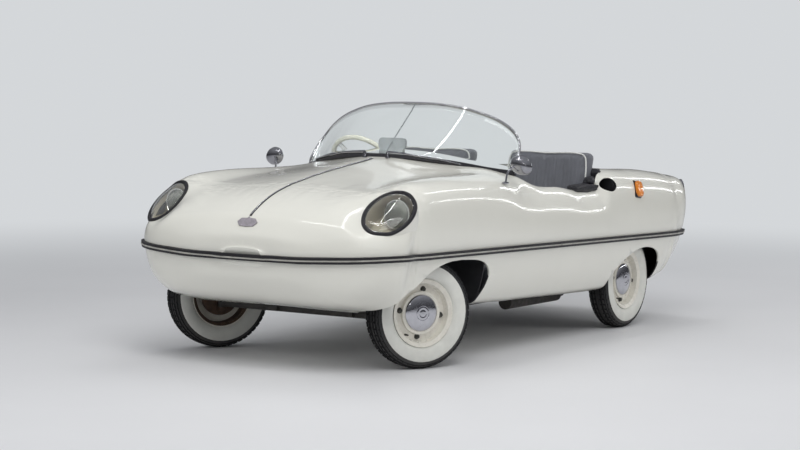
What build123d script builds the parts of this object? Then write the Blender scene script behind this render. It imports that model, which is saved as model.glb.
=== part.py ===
from build123d import *
import math
import os

# Small fibreglass-bodied open two-seat microcar, rear engine, four wheels, right-hand drive.
# Frame: origin on the ground under the middle of the car, +X to the car's left, +Y to the tail, +Z up.
# All lengths are millimetres, all angles degrees.

front_axle_y = -984.0
rear_axle_y = 816.0
front_half_track = 549.0
rear_half_track = 550.0
kingpin_offset = 40.0
steer_left = -26.2
steer_right = -28.2

wall = 7.0
fit_gap = 0.3
seam_gap = 3.0

tyre_radius = 235.0
tyre_half_width = 56.0
tread_half_width = 40.0
rim_flange_radius = 143.0
hubcap_radius = 77.0
stud_circle = 105.0
drum_radius = 92.0

trim_height = 26.0
trim_depth = 16.0
nose_y = -1508.0
nose_z = 480.0
tail_y = 1520.0
tail_z = 575.0
belt_mid_z = 464.0
belt_fall = 0.01873
end_length = 155.0
nose_end = {"start": -1264.0, "tip": nose_y, "z": nose_z, "along": 3.0, "across": 2.0, "under": 1.0, "over": 1.0,
            "stations": (-1412.0, -1454.0, -1483.0, -1499.0, -1506.0)}
tail_end = {"start": 1200.0, "tip": tail_y, "z": tail_z, "along": 4.0, "across": 3.0, "under": 1.7, "over": 0.5,
            "stations": (1408.0, 1450.0, 1480.0, 1502.0, 1513.0)}

# Half sections of the outer skin, from the nose to the tail. Columns: station y, height of the
# underside on the centre line, then x and z of the bottom edge, sill, belt, flank, shoulder,
# crest and valley, and the height of the top on the centre line.
SECTIONS = [
    (-1353, 266, 460, 276, 592, 345, 648, 486, 632, 572, 560, 622, 430, 657, 220, 677, 684),
    (-1264, 250, 520, 256, 610, 308, 666, 487, 662, 612, 600, 678, 485, 703, 270, 715, 722),
    (-1180, 242, 540, 247, 615, 290, 668, 486, 672, 640, 640, 723, 567, 755, 370, 743, 748),
    (-1070, 238, 545, 241, 618, 280, 668, 484, 674, 650, 645, 748, 550, 786, 390, 760, 776),
    (-860, 238, 548, 240, 620, 275, 668, 480, 674, 650, 645, 752, 545, 796, 400, 777, 809),
    (-600, 232, 548, 235, 620, 268, 668, 475, 672, 640, 640, 748, 550, 793, 420, 792, 842),
    (-440, 226, 548, 229, 620, 262, 668, 472, 670, 630, 634, 742, 562, 787, 430, 808, 866),
    (-254, 220, 548, 223, 620, 256, 668, 469, 668, 615, 622, 722, 572, 776, 420, 812, 858),
    (-70, 215, 548, 218, 620, 250, 668, 465, 668, 600, 636, 686, 590, 728, 430, 738, 740),
    (117, 209, 548, 212, 620, 244, 668, 462, 668, 590, 634, 680, 590, 717, 430, 725, 727),
    (300, 203, 548, 206, 620, 238, 668, 458, 668, 580, 632, 662, 590, 694, 430, 700, 702),
    (440, 200, 548, 203, 620, 235, 668, 456, 668, 585, 632, 662, 590, 692, 430, 698, 700),
    (510, 200, 548, 203, 620, 235, 668, 454, 668, 610, 642, 720, 590, 760, 430, 765, 768),
    (640, 200, 548, 203, 620, 235, 668, 452, 668, 620, 644, 732, 575, 777, 430, 776, 782),
    (780, 201, 548, 204, 620, 236, 668, 450, 668, 620, 641, 729, 568, 773, 415, 770, 779),
    (930, 203, 548, 206, 620, 238, 668, 447, 667, 620, 638, 725, 560, 768, 400, 763, 776),
    (1080, 206, 540, 210, 615, 245, 666, 445, 666, 612, 636, 716, 557, 756, 390, 755, 767),
    (1200, 214, 500, 220, 598, 265, 658, 442, 662, 600, 630, 705, 552, 742, 380, 746, 756),
    (1350, 236, 420, 246, 560, 300, 628, 439, 650, 592, 620, 694, 540, 726, 350, 732, 740),
]


def belt_z(y):
    """Height of the belt seam at station y; it dips towards the nose."""
    flat = belt_mid_z - belt_fall * y
    dip_start = -1320.0
    dip = 20.0
    if y >= dip_start:
        return flat
    return flat - dip * ((dip_start - y) / (dip_start - nose_y)) ** 2


def unit(v):
    length = math.hypot(*v)
    return (v[0] / length, v[1] / length)


def loop_tangents(points):
    """Directions at the points of a closed loop, each along the line between its neighbours."""
    last = len(points) - 1
    return [unit((points[0 if i == last else i + 1][0] - points[i - 1][0],
                  points[0 if i == last else i + 1][1] - points[i - 1][1])) for i in range(last + 1)]


def smooth_loop(points, place):
    """Closed smooth wire through plane points, one cubic arc a span. place puts a point in space."""
    tangents = loop_tangents(points)
    edges = []
    for i, p in enumerate(points):
        n = (i + 1) % len(points)
        q = points[n]
        turn = math.acos(max(-1.0, min(1.0, tangents[i][0] * tangents[n][0] + tangents[i][1] * tangents[n][1])))
        reach = math.dist(p, q) / 3 / math.cos(turn / 4) ** 2
        a = (p[0] + reach * tangents[i][0], p[1] + reach * tangents[i][1])
        b = (q[0] - reach * tangents[n][0], q[1] - reach * tangents[n][1])
        edges.append(Edge.make_bezier(place(p), place(a), place(b), place(q)))
    return Wire(edges)


def mirrored(half):
    """Closed loop of points from its half on the +X side, first and last point on the centre line."""
    return half + [(-x, z) for x, z in reversed(half[1:-1])]


def drawn_in(row, y, z, share, over, under):
    """Copy of a section drawn in towards the point (0, z), by shares of its own above and below it."""
    def height(v):
        return z + (v - z) * (over if v > z else under)
    out = [y, height(row[1])]
    for i in range(2, 16, 2):
        out += [row[i] * share, height(row[i + 1])]
    return out + [height(row[16])]


def end_rows(row, end):
    """Sections that round off an end beyond the given one."""
    def roundness(y):
        t = (y - end["start"]) / (end["tip"] - end["start"])
        return (1 - t ** end["along"]) ** (1 / end["across"])
    rows = []
    for y in end["stations"]:
        share = roundness(y) / roundness(row[0])
        rows.append(drawn_in(row, y, end["z"], share, share ** end["over"], share ** end["under"]))
    return rows


def steady_slopes(xs, values):
    """Slopes at the values of a column, never so steep that the curve through them overshoots."""
    steps = [(values[i + 1] - values[i]) / (xs[i + 1] - xs[i]) for i in range(len(xs) - 1)]
    inside = [2 * a * b / (a + b) if a * b > 0 else 0.0 for a, b in zip(steps, steps[1:])]
    return [steps[0]] + inside + [steps[-1]]


def between(rows, where):
    """Rows read off smooth curves through the columns of a table, at the given places."""
    xs = [row[0] for row in rows]
    columns = [[row[k] for row in rows] for k in range(1, len(rows[0]))]
    slopes = [steady_slopes(xs, column) for column in columns]
    out = []
    for x in where:
        i = max(0, min(len(xs) - 2, sum(1 for v in xs if v <= x) - 1))
        h = xs[i + 1] - xs[i]
        t = (x - xs[i]) / h
        row = [x]
        for v, m in zip(columns, slopes):
            row.append(v[i] * (1 + 2 * t) * (1 - t) ** 2 + v[i + 1] * t * t * (3 - 2 * t)
                       + h * t * (1 - t) * (m[i] * (1 - t) - m[i + 1] * t))
        out.append(row)
    return out


# Stations of the skin, in lengths that are lofted one by one and meet at a shared station.
LENGTHS = [
    (-1506, -1499, -1483, -1454, -1412, -1353, -1264, -1180),
    (-1180, -1070, -960, -860, -730, -600, -440, -254),
    (-254, -165, -70, 20, 117, 210, 300),
    (300, 370, 440),
    (440, 454, 468, 482, 496, 510),
    (510, 560, 610, 660, 710),
    (710, 808, 906, 1004, 1102, 1200),
    (1200, 1275, 1350, 1408, 1450, 1480, 1502, 1513),
]


def section_points(row, inward):
    """Points of one section, moved inwards by the given distance."""
    half = [(0.0, row[1])] + [(row[i], row[i + 1]) for i in range(2, 16, 2)] + [(0.0, row[16])]
    loop = mirrored([(float(x), float(z)) for x, z in half])
    tangents = loop_tangents(loop)
    return [(p[0] - inward * t[1], p[1] + inward * t[0]) for p, t in zip(loop, tangents)]


def body_form(inward):
    """Closed form of the whole body, its skin moved inwards by the given distance."""
    table = end_rows(SECTIONS[0], nose_end)[::-1] + SECTIONS + end_rows(SECTIONS[-1], tail_end)
    lengths = []
    for stations in LENGTHS:
        wires = []
        for row in between(table, stations):
            ends = (LENGTHS[0][0], LENGTHS[-1][-1])
            if inward > 0 and row[0] in ends:
                continue
            near_nose = max(0.0, 1 - (row[0] - nose_y) / end_length)
            near_tail = max(0.0, 1 - (tail_y - row[0]) / end_length)
            y = row[0] + inward * (near_nose - near_tail)
            wires.append(smooth_loop(section_points(row, inward), lambda p: (p[0], y, p[1])))
        lengths.append(Solid.make_loft(wires))
    return lengths[0].fuse(*lengths[1:])


def plan_prism(points, low, high):
    """Prism over a smooth plan outline."""
    return Solid.extrude(Face(smooth_loop(points, lambda p: (p[0], p[1], low))), Vector(0, 0, high - low))


def side_prism(points, x_low, x_high, smooth=True):
    """Prism along X over an outline of (y, z) points."""
    if smooth:
        wire = smooth_loop(points, lambda p: (x_low, p[0], p[1]))
    else:
        wire = Wire.make_polygon([(x_low, y, z) for y, z in points], close=True)
    return Solid.extrude(Face(wire), Vector(x_high - x_low, 0, 0))


def box(x0, x1, y0, y1, z0, z1):
    return Solid.make_box(x1 - x0, y1 - y0, z1 - z0, Plane((x0, y0, z0)))


def rod(start, end, radius):
    """Round bar from one point to another."""
    a, b = Vector(*start), Vector(*end)
    return Solid.make_cylinder(radius, (b - a).length, Plane(origin=a, z_dir=b - a))


def belt_slab(low, high):
    """Everything between two offsets from the belt seam."""
    wide = 900.0
    stations = [-1700, nose_y, -1470, -1430, -1390, -1350, -1320, 1700]
    lower = [(y, belt_z(max(y, nose_y)) + low) for y in stations]
    upper = [(y, belt_z(max(y, nose_y)) + high) for y in reversed(stations)]
    return side_prism(lower + upper, -wide, wide, smooth=False)


def both_sides(shape):
    """The shape and its mirror image, as one compound."""
    return Compound([shape, shape.mirror(Plane.YZ)])


# Openings of the body. Plan outlines are half outlines, nose end first.
cockpit_half = [(0, -345), (250, -318), (430, -240), (545, -150), (588, -60), (592, 120), (590, 330), (588, 480),
                (562, 556), (480, 576), (300, 580), (0, 582)]
lid_half_width = 330.0
lid_front = 690.0
lid_back = 1330.0
front_arch = [(-668, 150), (-655, 250), (-612, 330), (-604, 385), (-660, 430), (-800, 450), (-940, 450),
              (-1070, 420), (-1172, 360), (-1268, 290), (-1340, 215), (-1360, 150), (-1000, 120)]
rear_arch = [(530, 150), (545, 230), (600, 300), (690, 350), (810, 388), (930, 390), (1030, 360), (1068, 300),
             (1050, 232), (1010, 190), (990, 140), (760, 120)]
arch_inner_x = 400.0
front_well_x = 372.0
rear_well_x = 470.0
well_outer_x = 606.0
well_reach = 252.0
engine_bay = (-360.0, 360.0, 600.0, 1250.0)


def lid_outline(inset):
    w = lid_half_width - inset
    f, b = lid_front + inset, lid_back - inset
    r = 60.0
    half = [(0, f), (w - r, f), (w - r * 0.29, f + r * 0.29), (w, f + r), (w, (f + b) / 2), (w, b - r),
            (w - r * 0.29, b - r * 0.29), (w - r, b), (0, b)]
    return mirrored(half)


# Headlamps: a long oval in the front of each wing.
lamp_centre = (580.0, -1281.0, 668.0)
lamp_long = 130.0
lamp_short = 100.0
lamp_ring = 10.0
bucket_depth = 108.0
lamp_wall = 6.0
lens_depth = 14.0
lamp_radius = 60.0
lamp_normal = Vector(0.22, -0.627, 0.747).normalized()
lamp_up = Vector(0.172, 0.779, 0.603)
lamp_up = (lamp_up - lamp_normal * lamp_up.dot(lamp_normal)).normalized()
lamp_across = lamp_up.cross(lamp_normal)


def lamp_prism(long, short, low, high):
    """Oval prism on the left lamp's axis, from low to high along its normal."""
    base = Vector(*lamp_centre) + lamp_normal * low
    plane = Plane(origin=base, x_dir=lamp_up, z_dir=lamp_normal)
    edge = Edge.make_ellipse(long, short, plane)
    return Solid.extrude(Face(Wire([edge])), lamp_normal * (high - low))


def body_shells(outer, inner):
    """Upper and lower mouldings and the engine lid."""
    below = belt_slab(-700, 0)
    cockpit = plan_prism(mirrored(cockpit_half), 560, 1000)
    bay = plan_prism(lid_outline(0.0), 600, 1000)
    lamp_hole = both_sides(lamp_prism(lamp_long, lamp_short, -90, 120))
    intake = both_sides(intake_prism())
    lid = (plan_prism(lid_outline(seam_gap), 600, 1000) & outer) - inner
    upper = outer.cut(below, inner, cockpit, bay, *lamp_hole.solids(), *intake.solids())
    arches = []
    for outline in (front_arch, rear_arch):
        arches += [side_prism(outline, arch_inner_x, 800), side_prism(outline, -800, -arch_inner_x)]
    x0, x1, y0, y1 = engine_bay
    under = box(x0, x1, y0, y1, 100, 330)
    wells = []
    for axle_y, inner_x in ((front_axle_y, front_well_x), (rear_axle_y, rear_well_x)):
        for side in (-1, 1):
            xs = sorted((side * inner_x, side * well_outer_x))
            wells.append(box(*xs, axle_y - well_reach, axle_y + well_reach, 100, 300))
    lower = (outer & below).cut(inner, under, *arches, *wells)
    return upper, lower, lid


intake_centre = (640.0, 525.0, 713.0)
intake_long = 56.0
intake_short = 36.0


def intake_prism():
    """Oval air hole through the shoulder of the left haunch."""
    aim = Vector(0.86, -0.3, 0.42).normalized()
    along = Vector(0.33, 0.94, 0.05)
    along = (along - aim * along.dot(aim)).normalized()
    base = Vector(*intake_centre) - aim * 40
    edge = Edge.make_ellipse(intake_long, intake_short, Plane(origin=base, x_dir=along, z_dir=aim))
    return Solid.extrude(Face(Wire([edge])), aim * 130)


# Windscreen. Columns: foot x, y, z of the glass on the cowl, then x, y, z of its top edge.
SCREEN = [
    (0, -484, 862, 0, -206, 1097),
    (170, -466, 856, 130, -202, 1094),
    (300, -420, 842, 250, -192, 1080),
    (390, -366, 826, 345, -172, 1056),
    (460, -312, 810, 425, -152, 1026),
    (515, -268, 800, 490, -142, 985),
    (545, -248, 796, 531, -150, 938),
    (558, -240, 795, 552, -178, 892),
    (563, -236, 795, 560, -222, 832),
]
glass_thickness = 4.0
frame_width = 12.0
seal_rise = 9.0


def screen_rows():
    """Rows of the screen from its right end to its left end, closer together than the table's."""
    numbered = [[i] + [float(v) for v in row] for i, row in enumerate(SCREEN)]
    steps = [i / 3 for i in range(3 * (len(SCREEN) - 1) + 1)]
    left = [row[1:] for row in between(numbered, steps)]
    right = [[-r[0], r[1], r[2], -r[3], r[4], r[5]] for r in left[1:]]
    return right[::-1] + left


def screen_axes():
    """Foot, top, rise direction and outward direction at each row of the screen."""
    rows = screen_rows()
    out = []
    for i, row in enumerate(rows):
        foot, top = Vector(*row[:3]), Vector(*row[3:])
        ahead, back = rows[min(i + 1, len(rows) - 1)], rows[max(i - 1, 0)]
        run = (Vector(*ahead[:3]) + Vector(*ahead[3:]) - Vector(*back[:3]) - Vector(*back[3:])).normalized()
        rise = (top - foot).normalized()
        out.append((foot, top, rise, rise.cross(run).normalized()))
    return out


def screen_band(reach, thick):
    """Band along the screen; reach gives its lower and upper edge at a row from foot, top and rise."""
    wires = []
    for foot, top, rise, out in screen_axes():
        a, b = reach(foot, top, rise)
        n = out * (thick / 2)
        wires.append(Wire.make_polygon([a - n, b - n, b + n, a + n], close=True))
    return Solid.make_loft(wires, True)


def windscreen():
    """Curved glass, the bright arch over its edge and the rubber along its foot."""
    half = frame_width / 2
    glass = screen_band(lambda f, t, r: (f + r * seal_rise, t - r * (half + fit_gap)), glass_thickness)
    arch = screen_band(lambda f, t, r: (t - r * half, t + r * half), frame_width)
    seal = screen_band(lambda f, t, r: (f - r * 14, f + r * (seal_rise - fit_gap)), 12.0)
    return glass, arch, seal


# Wheels. Profiles are (distance outwards from the wheel's mid plane, radius).
def spun(points):
    """Ring about the X axis from a closed (x, radius) outline."""
    wire = Wire.make_polygon([(x, 0, r) for x, r in points], close=True)
    return Solid.revolve(Face(wire), 360, Axis.X)


def tyre_shape():
    seat = rim_flange_radius - 15
    s, t = tyre_half_width, tread_half_width
    shape = Wire([
        Edge.make_line((-38, 0, seat), (38, 0, seat)),
        Edge.make_line((38, 0, seat), (40, 0, rim_flange_radius + 3)),
        Edge.make_three_point_arc((40, 0, rim_flange_radius + 3), (s, 0, 184), (t, 0, tyre_radius - 6)),
        Edge.make_three_point_arc((t, 0, tyre_radius - 6), (0, 0, tyre_radius), (-t, 0, tyre_radius - 6)),
        Edge.make_three_point_arc((-t, 0, tyre_radius - 6), (-s, 0, 184), (-40, 0, rim_flange_radius + 3)),
        Edge.make_line((-40, 0, rim_flange_radius + 3), (-38, 0, seat)),
    ])
    return Solid.revolve(Face(shape), 360, Axis.X)


def rim_shape():
    """Pressed steel wheel: flanged band, dished disc, centre pressing and studs."""
    f = rim_flange_radius
    b = f - 15.3
    band = spun([(-46, f), (-46, f - 4), (-40, b - 4), (40, b - 4), (46, f - 4), (46, f), (40.5, f),
                 (38.3, b), (-38.3, b), (-40.5, f)])
    disc = spun([(4, b - 4), (8, b - 4), (10, 116), (14, 108), (16, 92), (26, 84), (26, 26), (21, 26), (21, 80),
                 (12, 88), (10, 106), (5, 116)])
    studs = []
    for k in range(4):
        a = math.radians(45 + 90 * k)
        y, z = (stud_circle - 6) * math.cos(a), (stud_circle - 6) * math.sin(a)
        studs.append(rod((12, y, z), (27, y, z), 8))
    return (band + disc).fuse(drum_shape(), *studs)


def hubcap_shape():
    """Domed cap that clips over the centre pressing."""
    r = hubcap_radius
    outline = Wire([
        Edge.make_line((26.3, 0, 0), (26.3, 0, r)),
        Edge.make_line((26.3, 0, r), (29, 0, r)),
        Edge.make_three_point_arc((29, 0, r), (38, 0, r * 0.72), (42, 0, r * 0.3)),
        Edge.make_line((42, 0, r * 0.3), (43, 0, r * 0.22)),
        Edge.make_line((43, 0, r * 0.22), (43, 0, 0)),
        Edge.make_line((43, 0, 0), (26.3, 0, 0)),
    ])
    return Solid.revolve(Face(outline), 360, Axis.X)


def drum_shape():
    return spun([(-16, 20), (-16, drum_radius), (6, drum_radius), (12, 82), (18, 76), (21, 70), (21, 20)])


def place_wheel(shape, side, axle_y, steer=0.0):
    """Puts a wheel piece, drawn for the left side, on its axle."""
    if side < 0:
        shape = shape.mirror(Plane.YZ)
    half = front_half_track if axle_y == front_axle_y else rear_half_track
    if axle_y == front_axle_y:
        shape = shape.moved(Location((side * kingpin_offset, 0, 0)))
        shape = shape.rotate(Axis.Z, steer)
        return shape.moved(Location((side * (half - kingpin_offset), axle_y, tyre_radius)))
    return shape.moved(Location((side * half, axle_y, tyre_radius)))


pin_radius = 10.0
pin_gap = 0.05
eye_radius = 20.0
eye_low = 183.0
eye_high = 262.0
ear_height = 18.0
ear_gap = 0.4


def knuckle_shape():
    """Fork, kingpin, backing plate and stub axle, drawn about the kingpin with the wheel at +X."""
    z0 = tyre_radius
    pieces = [rod((0, 0, eye_low - ear_gap - ear_height - z0), (0, 0, eye_high + ear_gap + ear_height - z0), pin_radius)]
    for low in (eye_low - ear_gap - ear_height, eye_high + ear_gap):
        pieces.append(rod((0, 0, low - z0), (0, 0, low + ear_height - z0), eye_radius))
        pieces.append(box(0, 16, -eye_radius, eye_radius, low - z0, low + ear_height - z0))
    plate_x = kingpin_offset - 27
    plate = rod((plate_x + 10.5, 0, 0), (plate_x + 6.5, 0, 0), drum_radius)
    clear = rod((0, 0, eye_low - ear_gap - z0), (0, 0, eye_high + ear_gap - z0), eye_radius)
    hub = box(plate_x - 4, plate_x + 7, -eye_radius, eye_radius, eye_low - ear_gap - ear_height - z0,
              eye_high + ear_gap + ear_height - z0) - clear
    stub = rod((plate_x + 6.5, 0, 0), (kingpin_offset + 24, 0, 0), 19.6)
    return plate.fuse(hub, stub, *pieces)


def front_axle():
    reach = front_half_track - kingpin_offset
    tube_z = 205.0
    tube = rod((-reach + 12, front_axle_y, tube_z), (reach - 12, front_axle_y, tube_z), 20)
    eyes = []
    holes = []
    for side in (-1, 1):
        x = side * reach
        eyes.append(rod((x, front_axle_y, eye_low), (x, front_axle_y, eye_high), eye_radius - 2))
        holes.append(rod((x, front_axle_y, 100), (x, front_axle_y, 400), pin_radius + pin_gap))
    return tube.fuse(*eyes).cut(*holes)


rail_x = 200.0
rail_width = 44.0
rail_bottom = 158.0


def chassis(outer, cut):
    """Two rails under the floor, upswept at the front and joined by cross members."""
    rails = [box(s * rail_x - rail_width / 2, s * rail_x + rail_width / 2, -1020, 1100, rail_bottom, 260)
             for s in (-1, 1)]
    crosses = [box(-rail_x, rail_x, y - 25, y + 25, rail_bottom, 198) for y in (-640, -300, 20, 560, 1070)]
    sweep = side_prism([(-1030, 140), (-1030, 192), (-960, 186), (-720, 158), (-720, 140)], -400, 400, smooth=False)
    return rails[0].fuse(rails[1], *crosses).cut(outer, cut, sweep)


def rear_axle():
    """Axle tubes, brake plates and stub axles of both rear wheels."""
    z, y = tyre_radius, rear_axle_y
    tubes = []
    for side in (-1, 1):
        plate_x = rear_half_track - 30
        tubes.append(rod((side * 150, y, z), (side * plate_x, y, z), 22))
        tubes.append(rod((side * plate_x, y, z), (side * (plate_x + 7.5), y, z), drum_radius))
        tubes.append(rod((side * (plate_x + 6), y, z), (side * (rear_half_track + 24), y, z), 19.6))
    return Compound([tubes[0].fuse(*tubes[1:3]), tubes[3].fuse(*tubes[4:6])])


seat_centre_x = 326.0
seat_width = 466.0
seat_front_y = -60.0
seat_top_z = 352.0
floor_rest_z = 225.5
back_rest_z = 223.8
back_thickness = 80.0
back_height = 662.0
back_lean = math.radians(9)
back_foot_y = 390.0


def seat_back_block(x, extra):
    """Leaning block of a seat back, thicker in front by the extra."""
    up = (0, math.sin(back_lean), math.cos(back_lean))
    foot = Vector(x - seat_width / 2, back_foot_y, back_rest_z) - Vector(0, up[2], -up[1]) * extra
    return Solid.make_box(seat_width, back_thickness + extra, back_height, Plane(foot, x_dir=(1, 0, 0), z_dir=up))


def seat_cushion(x):
    """Cushion that stands on the floor and ends against the seat back."""
    base = Solid.make_box(seat_width, back_foot_y + 30 - seat_front_y, seat_top_z - floor_rest_z,
                          Plane((x - seat_width / 2, seat_front_y, floor_rest_z)))
    return base.fillet(28, base.edges()) - seat_back_block(x, fit_gap)


def seat_back(x):
    base = seat_back_block(x, 0.0)
    return base.fillet(26, base.edges())


wheel_centre = Vector(-285, -180, 800)
column_aim = Vector(0, 0.80, 0.60).normalized()
steering_wheel_radius = 165.0
column_radius = 19.0


def steering_wheel():
    plane = Plane(origin=wheel_centre, z_dir=column_aim)
    ring = Solid.make_torus(steering_wheel_radius, 11.5, plane)
    hub = Solid.make_cylinder(26, 40, Plane(origin=wheel_centre - column_aim * 45, z_dir=column_aim))
    spokes = []
    for k in range(3):
        a = math.radians(-90 + 120 * k)
        out = plane.x_dir * math.cos(a) + plane.y_dir * math.sin(a)
        spokes.append(rod(tuple(wheel_centre - column_aim * 25), tuple(wheel_centre + out * steering_wheel_radius), 8))
    return ring.fuse(hub, *spokes)


def steering_column(inner):
    foot = wheel_centre - column_aim * 1000
    return rod(tuple(wheel_centre - column_aim * 45.4), tuple(foot), column_radius) & inner


def side_mirrors():
    base = Vector(628, -432, 757)
    head = Vector(672, -368, 836)
    aim = Vector(-0.12, 1.0, 0.12).normalized()
    foot = Solid.make_cylinder(14, 14, Plane(origin=base - Vector(0, 0, 6), z_dir=(0.4, 0, 0.92)))
    stalk = rod(tuple(base), tuple(head), 5)
    shell = Solid.make_sphere(52, Plane(origin=head)).moved(Location((0, 0, 0)))
    keep = Solid.make_cylinder(60, 34, Plane(origin=head - aim * 32, z_dir=aim))
    return foot.fuse(stalk, shell & keep)


def dashboard(inner):
    """Facia panel under the cowl, with a hole for the column."""
    panel = box(-700, 700, -420, -396, 560, 900) & inner
    return panel - rod(tuple(wheel_centre), tuple(wheel_centre - column_aim * 700), column_radius + fit_gap)


def bulkheads(inner):
    """Inner wing panels beside the footwell, a cross panel behind each, and the engine bulkhead."""
    panels = []
    for side in (-1, 1):
        xs = sorted((side * 366, side * 372))
        panels.append(box(*xs, -1345, -640, 180, 700))
        xs = sorted((side * 366, side * 700))
        panels.append(box(*xs, -646, -640, 180, 700))
    panels = panels[0].fuse(*panels[1:]) & inner
    return Compound((panels.solids()) + (box(-700, 700, 568, 574, 180, 735) & inner).solids())


def wiper(side):
    """Arm and blade lying along the foot of the screen."""
    pivot = (side * 62.0, -512.0, 868.0)
    knee = (side * 190.0, -508.0, 872.0)
    far = (side * 420.0, -400.0, 838.0)
    boss = rod((pivot[0], pivot[1], 852), (pivot[0], pivot[1], 882), 9)
    return boss.fuse(rod(pivot, knee, 3.5), rod(knee, far, 4.5))


def mirror_and_stay():
    """Centre stay inside the screen, with the driving mirror on it."""
    top, foot = Vector(0, -190, 1086), Vector(0, -455, 858)
    head = top + (foot - top) * 0.76
    back = Vector(0, 1, 0.15).normalized()
    plate = Solid.make_box(150, 52, 14, Plane(origin=head + Vector(-75, 6, -26), x_dir=(1, 0, 0), z_dir=back))
    return rod(tuple(top), tuple(foot), 4).fuse(plate)


def bonnet_trim(raised, outer):
    """Blank badge plate and the strip that runs back from it."""
    strip = box(-6, 6, -1455, -505, 600, 950)
    badge = plan_prism([(0, -1482), (52, -1467), (0, -1450), (-52, -1467)], 560, 700)
    return (raised & strip.fuse(badge)) - outer


def side_lamp(outer, centre, half_y, low, high, reach):
    """Rounded lens that stands out of the body's side."""
    x, y = centre
    block = box(x, x + reach, y - half_y, y + half_y, low, high)
    block = block.fillet(12, block.edges())
    return block - outer


def tail_lamp(proud, outer):
    """Upright oval lens on the corner of the tail, following the skin under it."""
    aim = Vector(0.62, 0.78, 0.0).normalized()
    plane = Plane(origin=Vector(556, 1420, 640) - aim * 120, x_dir=(0, 0, 1), z_dir=aim)
    edge = Edge.make_ellipse(52, 30, plane)
    return (Solid.extrude(Face(Wire([edge])), aim * 300) & proud) - outer


def silencer(outer):
    body = Solid.make_cylinder(34, 480, Plane(origin=(372, 20, 176), z_dir=(0, 1, 0)))
    pipe = rod((372, 490, 176), (372, 560, 176), 16)
    return body.fuse(pipe) - outer


def hand_levers(inner):
    """Gear lever and hand brake between the seats."""
    gear = rod((0, -250, 200), (0, -150, 470), 7).fuse(Solid.make_sphere(21, Plane(origin=(0, -146, 482))))
    brake = rod((0, 60, 200), (0, -60, 400), 9).fuse(rod((0, -55, 392), (0, -112, 486), 14))
    return Compound((gear & inner).solids() + (brake & inner).solids())


def pedals(inner):
    out = []
    for x in (-322, -257, -192):
        arm = rod((x, -900, 200), (x, -930, 330), 6)
        pad = box(x - 28, x + 28, -926, -916, 320, 372)
        out += (arm.fuse(pad) & inner).solids()
    return Compound(out)


def lamp_unit():
    """Round sealed lamp behind the clear cover, aimed straight ahead."""
    sunk = 50.0
    centre = Vector(*lamp_centre) - lamp_normal * sunk + lamp_up * 46
    aim = Vector(0.05, -0.99, 0.1).normalized()
    bowl = Solid.make_cylinder(lamp_radius, 20, Plane(origin=centre - aim * 12, z_dir=aim))
    lens = Solid.make_sphere(150, Plane(origin=centre - aim * 140)) & Solid.make_cylinder(
        lamp_radius - 4, 20, Plane(origin=centre, z_dir=aim))
    stem = rod(tuple(centre), tuple(centre - lamp_normal * (bucket_depth - lamp_wall - sunk - fit_gap)), 12)
    return bowl.fuse(lens, stem)


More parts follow.
